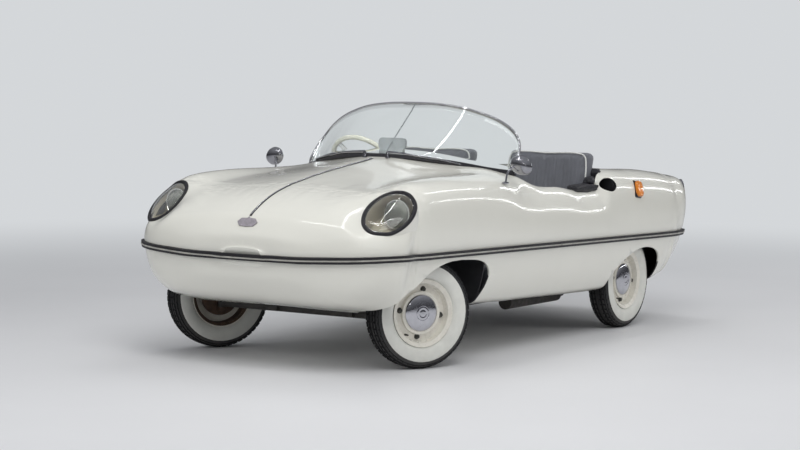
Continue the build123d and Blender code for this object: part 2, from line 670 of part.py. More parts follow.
def build():
    outer = body_form(0.0)
    inner = body_form(wall)
    nodes = {}
    upper, lower, lid = body_shells(outer, inner)
    nodes["body_upper"], nodes["body_lower"], nodes["engine_lid"] = upper, lower, lid
    trim = (body_form(-trim_depth) & belt_slab(-trim_height / 2, trim_height / 2)) - outer
    nodes["belt_trim"] = trim
    axle = front_axle()
    nodes["front_axle"] = axle
    nodes["chassis"] = chassis(outer, rod((-500, front_axle_y, 205), (500, front_axle_y, 205), 20))
    nodes["rear_axles"] = rear_axle()
    engine = box(-170, 170, 690, 1090, 190, 520).cut(nodes["chassis"], *nodes["rear_axles"].solids())
    nodes["engine_block"] = engine
    glass, arch, seal = windscreen()
    nodes["windscreen_glass"], nodes["windscreen_frame"] = glass, arch
    nodes["windscreen_seal"] = seal - outer
    for side, name in ((1, "left"), (-1, "right")):
        for end, y, steer in (("front", front_axle_y, steer_left if side > 0 else steer_right),
                              ("rear", rear_axle_y, 0.0)):
            for piece, make in (("tyre", tyre_shape), ("rim", rim_shape), ("hubcap", hubcap_shape)):
                nodes[f"{piece}_{end}_{name}"] = place_wheel(make(), side, y, steer)
        nodes[f"seat_cushion_{name}"] = seat_cushion(side * seat_centre_x)
        nodes[f"seat_back_{name}"] = seat_back(side * seat_centre_x)
        steer = steer_left if side > 0 else steer_right
        knuckle = knuckle_shape()
        if side < 0:
            knuckle = knuckle.mirror(Plane.YZ)
        reach = front_half_track - kingpin_offset
        nodes[f"knuckle_{name}"] = knuckle.rotate(Axis.Z, steer).moved(Location((side * reach, front_axle_y, tyre_radius)))
    nodes["steering_wheel"] = steering_wheel()
    nodes["steering_column"] = steering_column(inner)
    ring = lamp_prism(lamp_long - fit_gap, lamp_short - fit_gap, -36, 9) - lamp_prism(
        lamp_long - lamp_ring, lamp_short - lamp_ring, -60, 60)
    nodes["headlamp_bezels"] = both_sides(ring)
    nodes["headlamp_covers"] = both_sides(lamp_prism(lamp_long - lamp_ring - fit_gap, lamp_short - lamp_ring - fit_gap, 0, 5))
    bucket = lamp_prism(lamp_long, lamp_short, -bucket_depth, -36) - lamp_prism(
        lamp_long - lamp_wall, lamp_short - lamp_wall, lamp_wall - bucket_depth, -30)
    nodes["headlamp_buckets"] = both_sides(bucket & inner)
    nodes["headlamp_units"] = both_sides(lamp_unit())
    nodes["side_mirrors"] = both_sides(side_mirrors() - outer)
    nodes["dashboard"] = dashboard(inner)
    nodes["bulkheads"] = bulkheads(inner)
    nodes["wipers"] = Compound([wiper(1) - outer, wiper(-1) - outer])
    nodes["mirror_and_stay"] = mirror_and_stay().cut(outer, glass, arch, seal)
    nodes["bonnet_trim"] = bonnet_trim(body_form(-5.0), outer)
    nodes["indicators"] = both_sides(side_lamp(outer, (620, 790), 34, 638, 722, 62))
    nodes["tail_lamps"] = both_sides(tail_lamp(body_form(-lens_depth), outer))
    nodes["silencer"] = silencer(outer)
    nodes["hand_levers"] = hand_levers(inner)
    nodes["pedals"] = pedals(inner)
    return nodes


os.makedirs("parts", exist_ok=True)
for name, shape in build().items():
    export_step(shape, f"parts/{name}.step")
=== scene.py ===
from math import atan2, cos, hypot, pi, radians, sin

import bmesh
import bpy
from mathutils import Matrix, Vector, noise
from mathutils.bvhtree import BVHTree


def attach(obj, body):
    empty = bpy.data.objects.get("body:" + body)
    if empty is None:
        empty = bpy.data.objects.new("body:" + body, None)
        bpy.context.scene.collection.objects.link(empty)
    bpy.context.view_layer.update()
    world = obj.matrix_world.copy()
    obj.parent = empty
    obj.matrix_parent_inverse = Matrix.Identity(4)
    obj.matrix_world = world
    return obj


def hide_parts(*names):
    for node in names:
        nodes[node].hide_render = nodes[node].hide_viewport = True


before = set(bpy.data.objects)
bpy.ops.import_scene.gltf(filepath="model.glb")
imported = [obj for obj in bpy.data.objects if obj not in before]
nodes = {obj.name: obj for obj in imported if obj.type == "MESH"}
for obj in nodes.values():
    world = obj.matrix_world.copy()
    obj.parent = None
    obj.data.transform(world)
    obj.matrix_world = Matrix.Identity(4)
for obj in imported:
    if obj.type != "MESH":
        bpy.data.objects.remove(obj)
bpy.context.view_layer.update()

print("frame loaded")

fullTurn = 2 * pi


# small helpers for objects, places and shader nodes
def newObject(name, data):
    made = bpy.data.objects.new(name, data)
    bpy.context.scene.collection.objects.link(made)
    return made


def axesAt(place, x, y, z):
    # matrix from an origin and three axes
    return Matrix.Translation(place) @ Matrix((x, y, z)).transposed().to_4x4()


def feed(tree, socket, value):
    # a socket is linked, a tuple is a colour, anything else is set as it is
    if hasattr(value, "is_output"):
        tree.links.new(value, socket)
    else:
        socket.default_value = (*value, 1) if isinstance(value, tuple) else value


def addNode(tree, kind, inputs=None, **fields):
    node = tree.nodes.new("ShaderNode" + kind)
    for key, value in fields.items():
        setattr(node, key, value)
    for key, value in (inputs or {}).items():
        feed(tree, node.inputs[key], value)
    return node


def mathNode(tree, operation, *values):
    return addNode(tree, "Math", dict(enumerate(values)), operation=operation).outputs[0]


def mixColor(tree, factor, a, b):
    return addNode(tree, "Mix", {0: factor, 6: a, 7: b}, data_type="RGBA").outputs[2]


# camera, lights and surroundings
cameraSettings = {
    "place": (5.3501, -8.5196, 1.2684),
    "yaw": -33.09, "pitch": -4.27, "roll": 0.58,
    "lens": 96.02, "sensor": 36.0, "farthest": 200,
}


def makeCamera(c):
    yaw, pitch, roll = (radians(c[k]) for k in ("yaw", "pitch", "roll"))
    ahead = Vector((sin(yaw) * cos(pitch), cos(yaw) * cos(pitch), sin(pitch)))
    side = ahead.cross(Vector((0, 0, 1))).normalized()
    up = side.cross(ahead)
    right = side * cos(roll) + up * sin(roll)
    top = up * cos(roll) - side * sin(roll)
    data = bpy.data.cameras.new("photoCamera")
    data.lens, data.sensor_width, data.clip_end = c["lens"], c["sensor"], c["farthest"]
    cam = newObject("photoCamera", data)
    cam.matrix_world = axesAt(c["place"], right, top, -ahead)
    bpy.context.scene.camera = cam


lightSettings = [
    # name, place, aim, direction of the length, width, length, watts; the paint mirrors the thin tubes only
    ("keyPanel", (2.6, -3.4, 4.8), (0, -0.3, 0.5), (1, 0, 0), 3.0, 3.0, 128),
    ("nosePanel", (-2.8, -5.4, 2.8), (0, -1.0, 0.5), (0, 0, 1), 2.4, 1.6, 42),
    ("sidePanel", (5.4, 1.8, 2.0), (0, 0.4, 0.5), (0, 0, 1), 2.6, 1.4, 50),
    ("rearPanel", (-1.2, 2.6, 5.4), (0, 0.6, 0.6), (0, 1, 0), 3.0, 2.4, 66),
    ("tubeLeft", (1.55, 3.9, 3.3), (0.5, 1.0, 0.6), (0, 1, 0), 0.06, 4.4, 15),
    ("tubeNose", (-0.1, -2.1, 3.3), (0.0, -1.4, 0.6), (1, 0, 0), 0.05, 2.4, 9),
    ("tubeLamp", (0.02, -1.35, 3.25), (0.5, -1.3, 0.6), (0, 1, 0), 0.05, 1.9, 7),
    ("tubeFront", (2.9, -4.6, 2.3), (0.4, -1.0, 0.6), (1, 0, 0), 0.05, 3.0, 9),
    ("tubeSide", (3.0, 4.6, 1.7), (0.6, 1.0, 0.6), (0, 1, 0), 0.05, 3.4, 9),
]


def makeLights():
    for name, place, aim, along, width, length, watts in lightSettings:
        data = bpy.data.lights.new(name, "AREA")
        data.shape = "RECTANGLE"
        data.size, data.size_y, data.energy = width, length, watts
        lamp = newObject(name, data)
        lamp.visible_glossy = name.startswith("tube")
        away = (Vector(place) - Vector(aim)).normalized()
        across = Vector(along).cross(away).normalized()
        lamp.matrix_world = axesAt(place, across, away.cross(across), away)


worldSettings = {
    # lit is the general light; low and high are what paint and chrome reflect, by place in the ramp
    "seen": (0.66, 0.68, 0.7), "lit": (0.93, 0.96, 1.0), "strength": 0.42,
    "low": (0.5, (0.045, 0.045, 0.05, 1)), "high": (0.86, (0.4, 0.41, 0.43, 1)),
}


def makeWorld(s):
    world = bpy.data.worlds.new("paleStudio")
    bpy.context.scene.world = world
    world.use_nodes = True
    tree = world.node_tree
    tree.nodes.clear()
    rise = addNode(tree, "SeparateXYZ", {0: addNode(tree, "TexCoord").outputs["Generated"]}).outputs["Z"]
    ramp = addNode(tree, "ValToRGB", {0: mathNode(tree, "MULTIPLY_ADD", rise, 0.5, 0.5)})
    for stop, key in zip(ramp.color_ramp.elements, ("low", "high")):
        stop.position, stop.color = s[key]
    lit = addNode(tree, "Background", {"Color": s["lit"], "Strength": s["strength"]})
    shine = addNode(tree, "Background", {"Color": ramp.outputs["Color"]})
    seen = addNode(tree, "Background", {"Color": s["seen"]})
    path = addNode(tree, "LightPath").outputs
    glossy = addNode(tree, "MixShader", {0: path["Is Glossy Ray"], 1: lit.outputs[0], 2: shine.outputs[0]})
    clear = mathNode(tree, "MAXIMUM", path["Is Camera Ray"], path["Is Transmission Ray"])
    final = addNode(tree, "MixShader", {0: clear, 1: glossy.outputs[0], 2: seen.outputs[0]})
    addNode(tree, "OutputWorld", {"Surface": final.outputs[0]})


makeCamera(cameraSettings)
makeLights()
makeWorld(worldSettings)
bpy.context.scene.view_settings.view_transform = "Standard"
print("camera and light ready")


# shared shader effects
def newGroup(name, inputs, output, kind="Float"):
    group = bpy.data.node_groups.new(name, "ShaderNodeTree")
    for label, value in inputs.items():
        socket = group.interface.new_socket(label, in_out="INPUT", socket_type="NodeSocketFloat")
        socket.default_value = value
    group.interface.new_socket(output, in_out="OUTPUT", socket_type="NodeSocket" + kind)
    return group, group.nodes.new("NodeGroupInput").outputs, group.nodes.new("NodeGroupOutput").inputs[0]


def objectPlace(tree):
    return addNode(tree, "TexCoord").outputs["Object"]


def splitPlace(tree):
    return addNode(tree, "SeparateXYZ", {0: objectPlace(tree)}).outputs


def noiseNode(tree, scale, detail, rough=0.5):
    values = {"Vector": objectPlace(tree), "Scale": scale, "Detail": detail, "Roughness": rough}
    return addNode(tree, "TexNoise", values).outputs["Fac"]


def groupVariation():
    # slow change between two values over the surface
    group, given, result = newGroup("variation", {"Scale": 8.0, "Low": 0.0, "High": 1.0}, "Value")
    spread = mathNode(group, "MULTIPLY_ADD", noiseNode(group, given["Scale"], 4.0), 2.4, -0.7)
    spread = addNode(group, "Clamp", {0: spread}).outputs[0]
    gap = mathNode(group, "SUBTRACT", given["High"], given["Low"])
    feed(group, result, mathNode(group, "MULTIPLY_ADD", spread, gap, given["Low"]))
    return group


def groupGrain():
    # fine bump from noise
    group, given, result = newGroup("grain", {"Scale": 300.0, "Strength": 0.2, "Depth": 0.0005},
                                    "Normal", "Vector")
    bump = addNode(group, "Bump", {"Height": noiseNode(group, given["Scale"], 2.0),
                                   "Strength": given["Strength"], "Distance": given["Depth"]})
    feed(group, result, bump.outputs["Normal"])
    return group


def groupDust():
    # road dust: more of it low down, in clouds
    group, given, result = newGroup("dust", {"Top": 0.35, "Amount": 0.5}, "Mask")
    low = mathNode(group, "SUBTRACT", given["Top"], splitPlace(group)["Z"])
    mask = mathNode(group, "DIVIDE", low, given["Top"])
    for share in (noiseNode(group, 14.0, 5.0, 0.6), given["Amount"]):
        mask = mathNode(group, "MULTIPLY", mask, share)
    feed(group, result, addNode(group, "Clamp", {0: mask}).outputs[0])
    return group


effects = {"variation": groupVariation(), "grain": groupGrain(), "dust": groupDust()}


def effect(tree, name, **values):
    return addNode(tree, "Group", values, node_tree=effects[name]).outputs[0]


# materials
def newMaterial(name):
    material = bpy.data.materials.new(name)
    material.use_nodes = True
    return material


def shaderOf(material):
    tree = material.node_tree
    return tree, tree.nodes["Principled BSDF"].inputs


def baseMaterial(name, color, roughness=(0.3, 0.4), spots=8.0, shade=0.08, grain=None, dust=None, **sockets):
    # colour and roughness vary a little; grain is (scale, strength, depth), dust is (top, amount, colour)
    material = newMaterial(name)
    tree, inputs = shaderOf(material)
    darker = tuple(v * (1 - shade) for v in color)
    tint = mixColor(tree, effect(tree, "variation", Scale=spots), darker, color)
    if dust:
        tint = mixColor(tree, effect(tree, "dust", Top=dust[0], Amount=dust[1]), tint, dust[2])
    feed(tree, inputs["Base Color"], tint)
    feed(tree, inputs["Roughness"],
         effect(tree, "variation", Scale=spots * 2.3, Low=roughness[0], High=roughness[1]))
    if grain:
        feed(tree, inputs["Normal"], effect(tree, "grain", Scale=grain[0], Strength=grain[1], Depth=grain[2]))
    for key, value in sockets.items():
        inputs[key.replace("_", " ")].default_value = value
    return material


paintLook = {
    "color": (0.74, 0.73, 0.665), "roughness": (0.16, 0.24), "dust": (0.36, 0.35, (0.42, 0.4, 0.36)),
    "coat": 0.7, "inside": (0.045, 0.046, 0.05), "insideRoughness": 0.75,
    "ripple": 0.12, "rippleDepth": 0.004,
}


def paintMaterial(s):
    # off-white gloss outside, dark laminate on the faces that look inwards
    material = baseMaterial("bodyPaint", s["color"], s["roughness"], 3.0, 0.03, dust=s["dust"],
                            Coat_Weight=s["coat"], Coat_Roughness=0.03)
    tree, inputs = shaderOf(material)
    spot = splitPlace(tree)
    ends = mathNode(tree, "POWER", mathNode(tree, "MULTIPLY", spot["Y"], 0.66), 7.0)
    outwards = addNode(tree, "CombineXYZ", {"X": spot["X"], "Y": mathNode(tree, "MULTIPLY", ends, 0.6),
                                            "Z": mathNode(tree, "SUBTRACT", spot["Z"], 0.47)})
    facing = {0: outwards.outputs[0], 1: addNode(tree, "TexCoord").outputs["Normal"]}
    dot = addNode(tree, "VectorMath", facing, operation="DOT_PRODUCT").outputs["Value"]
    inside = mathNode(tree, "LESS_THAN", dot, -0.015)
    color, rough = (inputs[key].links[0].from_socket for key in ("Base Color", "Roughness"))
    dull = mathNode(tree, "MULTIPLY", inside, s["insideRoughness"])
    feed(tree, inputs["Base Color"], mixColor(tree, inside, color, s["inside"]))
    feed(tree, inputs["Roughness"], mathNode(tree, "MAXIMUM", rough, dull))
    feed(tree, inputs["Coat Weight"], mathNode(tree, "MULTIPLY_ADD", inside, -s["coat"], s["coat"]))
    # the faint ripple of a hand-laid skin
    ripple = addNode(tree, "Bump", {"Strength": s["ripple"], "Distance": s["rippleDepth"],
                                    "Height": noiseNode(tree, 7.0, 1.0)})
    feed(tree, inputs["Normal"], ripple.outputs["Normal"])
    return material


def glassMaterial(name, color, shadow=0.12):
    # clear glass that casts only a weak shadow
    material = newMaterial(name)
    tree, inputs = shaderOf(material)
    inputs["Transmission Weight"].default_value = 1.0
    inputs["IOR"].default_value = 1.45
    paler = tuple(min(1, v * 1.03) for v in color)
    feed(tree, inputs["Base Color"], mixColor(tree, effect(tree, "variation", Scale=5.0), color, paler))
    feed(tree, inputs["Roughness"], effect(tree, "variation", Scale=9.0, Low=0.0, High=0.03))
    dark = addNode(tree, "LightPath").outputs["Is Shadow Ray"]
    feed(tree, inputs["Alpha"], mathNode(tree, "MULTIPLY_ADD", dark, shadow - 1.0, 1.0))
    return material


def stripedMaterial(name, color, pitch, axis, **more):
    # fine ribs along an axis, such as on a fluted lens
    material = baseMaterial(name, color, **more)
    tree, inputs = shaderOf(material)
    wave = mathNode(tree, "SINE", mathNode(tree, "MULTIPLY", splitPlace(tree)[axis], fullTurn / pitch))
    bump = addNode(tree, "Bump", {"Height": wave, "Strength": 0.6, "Distance": 0.0012})
    feed(tree, inputs["Normal"], bump.outputs["Normal"])
    return material


materials = {
    "paint": paintMaterial(paintLook),
    "chrome": baseMaterial("polishedChrome", (0.78, 0.78, 0.8), (0.04, 0.12), 30.0, 0.06, Metallic=1.0),
    "wornChrome": baseMaterial("hubcapChrome", (0.56, 0.56, 0.6), (0.06, 0.2), 45.0, 0.12,
                               grain=(38.0, 0.25, 0.0016), Metallic=1.0),
    "rubber": baseMaterial("darkRubber", (0.013, 0.012, 0.015), (0.42, 0.6), 30.0, 0.2,
                           grain=(500, 0.2, 0.0004)),
    "bead": baseMaterial("paleBead", (0.43, 0.42, 0.38), (0.25, 0.4), 20.0, 0.3),
    "tread": baseMaterial("treadRubber", (0.024, 0.024, 0.026), (0.65, 0.85), 60.0, 0.35,
                          grain=(420, 0.35, 0.0006), dust=(0.3, 0.5, (0.16, 0.15, 0.14))),
    # near-black for the groove walls and floors: painted shade in the tread's recesses
    "groove": baseMaterial("treadGroovePaintedShade", (0.006, 0.006, 0.007), (0.8, 0.95), 60.0, 0.3),
    "whitewall": baseMaterial("whiteSidewall", (0.72, 0.72, 0.67), (0.45, 0.6), 24.0, 0.1,
                              grain=(260, 0.15, 0.0005), dust=(0.42, 0.22, (0.36, 0.33, 0.28))),
    "rim": baseMaterial("creamEnamel", (0.78, 0.75, 0.67), (0.22, 0.36), 26.0, 0.08,
                        dust=(0.4, 0.16, (0.34, 0.29, 0.22)), Coat_Weight=0.4),
    "rust": baseMaterial("rustyBrake", (0.095, 0.055, 0.035), (0.7, 0.9), 40.0, 0.55,
                         grain=(160, 0.6, 0.002)),
    "darkMetal": baseMaterial("underbodyBlack", (0.03, 0.029, 0.028), (0.45, 0.7), 18.0, 0.4,
                              grain=(180, 0.3, 0.001), dust=(0.4, 0.5, (0.12, 0.1, 0.08))),
    "bolt": baseMaterial("oldBoltSteel", (0.1, 0.1, 0.09), (0.4, 0.6), 90.0, 0.4, Metallic=0.8),
    "alloy": baseMaterial("castAlloy", (0.42, 0.42, 0.42), (0.45, 0.65), 25.0, 0.3, grain=(220, 0.5, 0.001),
                          Metallic=0.9),
    "vinyl": baseMaterial("greyVinyl", (0.15, 0.155, 0.175), (0.38, 0.52), 16.0, 0.18,
                          grain=(900, 0.3, 0.0004), Sheen_Weight=0.15),
    "piping": baseMaterial("palePiping", (0.76, 0.76, 0.73), (0.35, 0.5), 30.0, 0.15),
    "lining": baseMaterial("blackLining", (0.02, 0.02, 0.023), (0.5, 0.7), 14.0, 0.3,
                           grain=(700, 0.5, 0.0005)),
    "cream": baseMaterial("creamWheelRim", (0.66, 0.64, 0.54), (0.18, 0.3), 20.0, 0.1, Coat_Weight=0.3),
    "amber": stripedMaterial("amberLens", (0.8, 0.235, 0.012), 0.006, 2, roughness=(0.12, 0.2), spots=20.0,
                             Coat_Weight=0.5),
    "red": stripedMaterial("redLens", (0.28, 0.01, 0.008), 0.006, 2, roughness=(0.12, 0.2), spots=20.0,
                           Coat_Weight=0.5),
    "bucket": baseMaterial("lampBowlPaint", (0.4, 0.37, 0.29), (0.3, 0.45), 12.0, 0.25),
    "silver": baseMaterial("silveredBowl", (0.72, 0.72, 0.72), (0.05, 0.15), 30.0, 0.15, Metallic=1.0),
    "lens": stripedMaterial("flutedLens", (0.21, 0.22, 0.2), 0.0085, 0, roughness=(0.1, 0.2), spots=30.0,
                            shade=0.35, Coat_Weight=0.5, Metallic=0.75),
    "glass": glassMaterial("windscreenGlass", (0.93, 0.96, 0.95)),
    "cover": glassMaterial("lampCover", (0.95, 0.95, 0.93)),
    "enamel": baseMaterial("badgeEnamel", (0.34, 0.31, 0.34), (0.2, 0.3), 60.0, 0.3, Coat_Weight=0.6),
    # chrome with a darkened colour: painted dark reflection of dark surroundings, used on mirror shells,
    # wiper arms and tail lamp rims
    "darkChrome": baseMaterial("chromeDarkReflection", (0.42, 0.42, 0.45), (0.1, 0.22), 40.0, 0.25, Metallic=1.0),
    "mirrorBack": baseMaterial("mirrorBackPaint", (0.27, 0.28, 0.29), (0.3, 0.45), 30.0, 0.2, Metallic=0.5),
    "canvas": baseMaterial("crumpledCanvas", (0.022, 0.021, 0.026), (0.42, 0.62), 40.0, 0.4,
                           grain=(600, 0.5, 0.0008)),
    "mirrorGlass": baseMaterial("mirrorGlass", (0.62, 0.64, 0.68), (0.01, 0.04), 20.0, 0.05, Metallic=1.0),
}


# finishes of the CAD meshes that stay in sight
cadFinishes = {
    "paint": "engine_lid", "rust": "knuckle_left knuckle_right", "alloy": "engine_block",
    "darkMetal": "front_axle chassis rear_axles silencer pedals steering_column",
    "rubber": "windscreen_seal", "lining": "dashboard bulkheads", "bucket": "headlamp_buckets",
    "chrome": "hand_levers", "red": "tail_lamps",
}
for finish, names in cadFinishes.items():
    for name in names.split():
        slots = nodes[name].data.materials
        if len(slots) == 0:
            slots.append(materials[finish])
        for i in range(len(slots)):
            slots[i] = materials[finish]
print("materials ready")


# mesh helpers
def meshOf(bm, name):
    mesh = bpy.data.meshes.new(name)
    bm.to_mesh(mesh)
    bm.free()
    return mesh


def finishPiece(made, name, keys, sharp=38.0, replaces=None, body="body"):
    # one finished object from a bmesh or a mesh: smooth shading with sharp edges, riding on its body
    mesh = meshOf(made, name) if isinstance(made, bmesh.types.BMesh) else made
    for key in keys.split():
        mesh.materials.append(materials[key])
    mesh.shade_smooth()
    mesh.set_sharp_from_angle(angle=radians(sharp))
    piece = newObject(name, mesh)
    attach(piece, body)
    if replaces:
        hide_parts(replaces)
    return piece


def everything(bm):
    return bm.verts[:] + bm.edges[:] + bm.faces[:]


def onlyVerts(geom):
    return [g for g in geom if isinstance(g, bmesh.types.BMVert)]


def facesOut(bm):
    bmesh.ops.recalc_face_normals(bm, faces=bm.faces[:])


def placed(bm, matrix):
    bmesh.ops.transform(bm, matrix=matrix, verts=bm.verts[:])
    return bm


def rotated(degrees, axis):
    return Matrix.Rotation(radians(degrees), 4, axis)


def aimedAt(place, aim):
    # for a piece made along X: its place, and its X turned to the aim
    return Matrix.Translation(place) @ Vector((1, 0, 0)).rotation_difference(Vector(aim)).to_matrix().to_4x4()


def cutAt(bm, place, normal):
    # takes away what lies beyond a plane
    bmesh.ops.bisect_plane(bm, geom=everything(bm), plane_co=place, plane_no=normal, clear_outer=True)


def roundEdges(bm, edges, width, segments, **more):
    bmesh.ops.bevel(bm, geom=edges, offset=width, affect="EDGES", segments=segments, profile=0.5, material=-1,
                    **more)


def roundedBlock(size, width, segments=4):
    bm = bmesh.new()
    bmesh.ops.create_cube(bm, size=1.0, matrix=Matrix.Diagonal((*size, 1)))
    roundEdges(bm, bm.edges[:], width, segments)
    return bm


def addCone(bm, segments, foot, top, depth, place):
    return bmesh.ops.create_cone(bm, cap_ends=True, segments=segments, radius1=foot, radius2=top, depth=depth,
                                 matrix=place)["verts"]


def spunRing(profile, steps, closed=True, radius=1.0, materialOf=None):
    # ring about the X axis from (x, r) points, with r as a share of the radius
    bm = bmesh.new()
    verts = [bm.verts.new((x, 0, radius * share)) for x, share in profile]
    ends = verts[1:] + verts[:1] if closed else verts[1:]
    edges = [bm.edges.new(pair) for pair in zip(verts, ends)]
    bmesh.ops.spin(bm, geom=verts + edges, cent=(0, 0, 0), axis=(1, 0, 0), dvec=(0, 0, 0), angle=fullTurn,
                   steps=steps, space=Matrix.Identity(4), use_merge=True, use_normal_flip=False)
    bmesh.ops.remove_doubles(bm, verts=bm.verts[:], dist=1e-5)
    facesOut(bm)
    if materialOf:
        for face in bm.faces:
            c = face.calc_center_median()
            face.material_index = materialOf(c.x, hypot(c.y, c.z))
    return bm


def barMesh(points, radius, resolution=8, sides=3):
    # smooth round bar through points, with one radius or a list of one for each point
    curve = bpy.data.curves.new("bar", "CURVE")
    curve.dimensions, curve.bevel_depth, curve.use_fill_caps = "3D", 1.0, True
    curve.bevel_resolution, curve.resolution_u = sides, resolution
    spline = curve.splines.new("BEZIER")
    spline.bezier_points.add(len(points) - 1)
    radii = radius if isinstance(radius, list) else [radius] * len(points)
    for knot, point, size in zip(spline.bezier_points, points, radii):
        knot.co, knot.radius = point, size
        knot.handle_left_type = knot.handle_right_type = "AUTO"
    holder = bpy.data.objects.new("bar", curve)
    mesh = bpy.data.meshes.new_from_object(holder)
    bpy.data.objects.remove(holder)
    bpy.data.curves.remove(curve)
    return mesh


def joinMeshes(*meshes):
    bm = bmesh.new()
    for mesh in meshes:
        bm.from_mesh(mesh)
        bpy.data.meshes.remove(mesh)
    bmesh.ops.remove_doubles(bm, verts=bm.verts[:], dist=1e-6)
    return bm


def mirroredX(bm):
    # adds the other side of a piece
    twin = bmesh.ops.duplicate(bm, geom=everything(bm))["geom"]
    bmesh.ops.scale(bm, vec=(-1, 1, 1), verts=onlyVerts(twin))
    bmesh.ops.reverse_faces(bm, faces=[g for g in twin if isinstance(g, bmesh.types.BMFace)])
    return bm


def mergedCopy(node):
    bm = bmesh.new()
    bm.from_mesh(nodes[node].data)
    bmesh.ops.remove_doubles(bm, verts=bm.verts[:], dist=2e-5)
    bmesh.ops.dissolve_degenerate(bm, edges=bm.edges[:], dist=1e-5)
    return bm


# wheels: side, sign of X, and how far its front wheel is turned about Z in degrees
wheelSides = (("left", 1, -26.2), ("right", -1, -28.2))
wheelShape = {"pinX": 0.509, "pinToWheel": 0.04, "frontY": -0.984, "rearX": 0.55, "rearY": 0.816,
              "axleZ": 0.235}
tyreShape = {"blocks": 52, "grooveWidth": 0.0034, "blockDepth": 0.0065, "lugGap": 0.003, "lugDepth": 0.0036,
             "wallOuter": 0.2045, "zigzag": 0.38}


def wheelPlace(s, end, sign, degrees):
    # matrix for a piece made round X with its outer face towards +X
    angle = radians(degrees) if end == "front" else 0.0
    centre = Vector((sign * s["rearX"], s["rearY"], s["axleZ"]))
    if end == "front":
        centre.x = sign * (s["pinX"] + s["pinToWheel"] * cos(angle))
        centre.y = s["frontY"] + sign * s["pinToWheel"] * sin(angle)
    return Matrix.Translation(centre) @ Matrix.Rotation(angle + (pi if sign < 0 else 0), 4, "Z")


def axleReach(point):
    return hypot(point.y, point.z)


def tyreMesh(s):
    side = [(0.038, 0.1285), (0.0405, 0.135), (0.041, 0.145), (0.05, 0.154), (0.0552, 0.17),
            (0.056, 0.186), (0.0538, 0.198), (0.053, 0.204), (0.0522, 0.205),
            (0.05, 0.211), (0.0468, 0.218)]
    crown = [(0.0405, 0.224), (0.0385, 0.2266), (0.0245, 0.228), (0.022, 0.2225), (0.02, 0.2283),
             (0.008, 0.2285), (0.0055, 0.223)]
    half = side + crown
    profile = half + [(-x, r) for x, r in reversed(half)]
    bm = spunRing(profile, s["blocks"], materialOf=lambda x, r: 1 if 0.1435 < r < s["wallOuter"] else 0)
    for vert in bm.verts:       # the rows of blocks lean against each other
        if axleReach(vert.co) > 0.2105:
            lean = s["zigzag"] * (abs(abs(vert.co.x) / 0.0225 - 1) - 0.5) * fullTurn / s["blocks"]
            vert.co = Matrix.Rotation(lean, 3, "X") @ vert.co
    tread = [f for f in bm.faces if abs(axleReach(f.calc_center_median()) - 0.2277) < 0.0018
             and f.calc_area() > 6e-5]
    walls = bmesh.ops.inset_individual(bm, faces=tread, thickness=s["grooveWidth"], depth=s["blockDepth"],
                                       use_even_offset=True)["faces"]
    shoulder = [f for f in bm.faces if abs(f.calc_center_median().x) > 0.0425
                and axleReach(f.calc_center_median()) > 0.2205]
    walls += bmesh.ops.inset_individual(bm, faces=shoulder, thickness=s["lugGap"], depth=s["lugDepth"],
                                        use_even_offset=True)["faces"]
    # groove and lug walls take the near-black material: painted shade in the recesses
    for face in walls:
        face.material_index = 2
    return bm


rimShape = {"steps": 96, "boltCircle": 0.1005, "boltSize": 0.0095, "boltTurn": -8, "valveTurn": 232,
            "valveReach": 0.113}


def rimMesh(s):
    # flanged band and dished disc with a raised centre ring; the inner side is rusty
    section = [(-0.046, 0.143), (-0.045, 0.1445), (-0.0425, 0.144), (-0.0405, 0.14), (-0.0385, 0.1277),
               (0.0383, 0.1277), (0.0405, 0.14), (0.0425, 0.144), (0.045, 0.1445), (0.047, 0.1425),
               (0.046, 0.1395), (0.042, 0.134), (0.039, 0.126), (0.025, 0.1225), (0.014, 0.119),
               (0.014, 0.112), (0.015, 0.106), (0.016, 0.097), (0.017, 0.0935), (0.0265, 0.0915),
               (0.0285, 0.086), (0.027, 0.08), (0.0262, 0.074), (0.0262, 0.03), (0.021, 0.03),
               (0.021, 0.078), (0.015, 0.086), (0.012, 0.096), (0.008, 0.108), (0.006, 0.116),
               (0.0000, 0.1215), (-0.036, 0.1235), (-0.043, 0.138)]
    return spunRing(section, s["steps"], materialOf=lambda x, r: 1 if x < -0.001 and r < 0.139 else 0)


def boltMeshes(s):
    # four bolts on their round seats, and the valve
    bm = bmesh.new()
    across = rotated(90, "Y")
    for k in range(4):
        angle = radians(90 * k + s["boltTurn"])
        place = Vector((0.018, s["boltCircle"] * cos(angle), s["boltCircle"] * sin(angle)))
        addCone(bm, 24, 0.0125, 0.011, 0.003, Matrix.Translation(place) @ across)
        head = Matrix.Translation(place + Vector((0.0045, 0, 0))) @ across @ Matrix.Rotation(angle, 4, "Z")
        made = addCone(bm, 6, s["boltSize"], s["boltSize"], 0.009, head)
        roundEdges(bm, [e for e in bm.edges if e.verts[0] in made], 0.0009, 2)
    angle = radians(s["valveTurn"])
    valve = Vector((0.026, s["valveReach"] * cos(angle), s["valveReach"] * sin(angle)))
    addCone(bm, 16, 0.0045, 0.0032, 0.024, Matrix.Translation(valve) @ across)
    return bm


hubcapShape = {"radius": 0.077, "steps": 96}


def hubcapMesh(s):
    # domed cap with pressed rings, as places along X and shares of the radius
    section = [(0.0264, 0.0), (0.0264, 0.93), (0.0272, 0.985), (0.029, 1.0), (0.0305, 0.985),
               (0.033, 0.93), (0.0368, 0.8), (0.0398, 0.62), (0.0416, 0.45), (0.042, 0.405),
               (0.041, 0.385), (0.0415, 0.365), (0.0424, 0.33), (0.0424, 0.23), (0.0418, 0.205),
               (0.0424, 0.18), (0.0429, 0.08), (0.043, 0.0)]
    return spunRing(section, s["steps"], False, s["radius"])


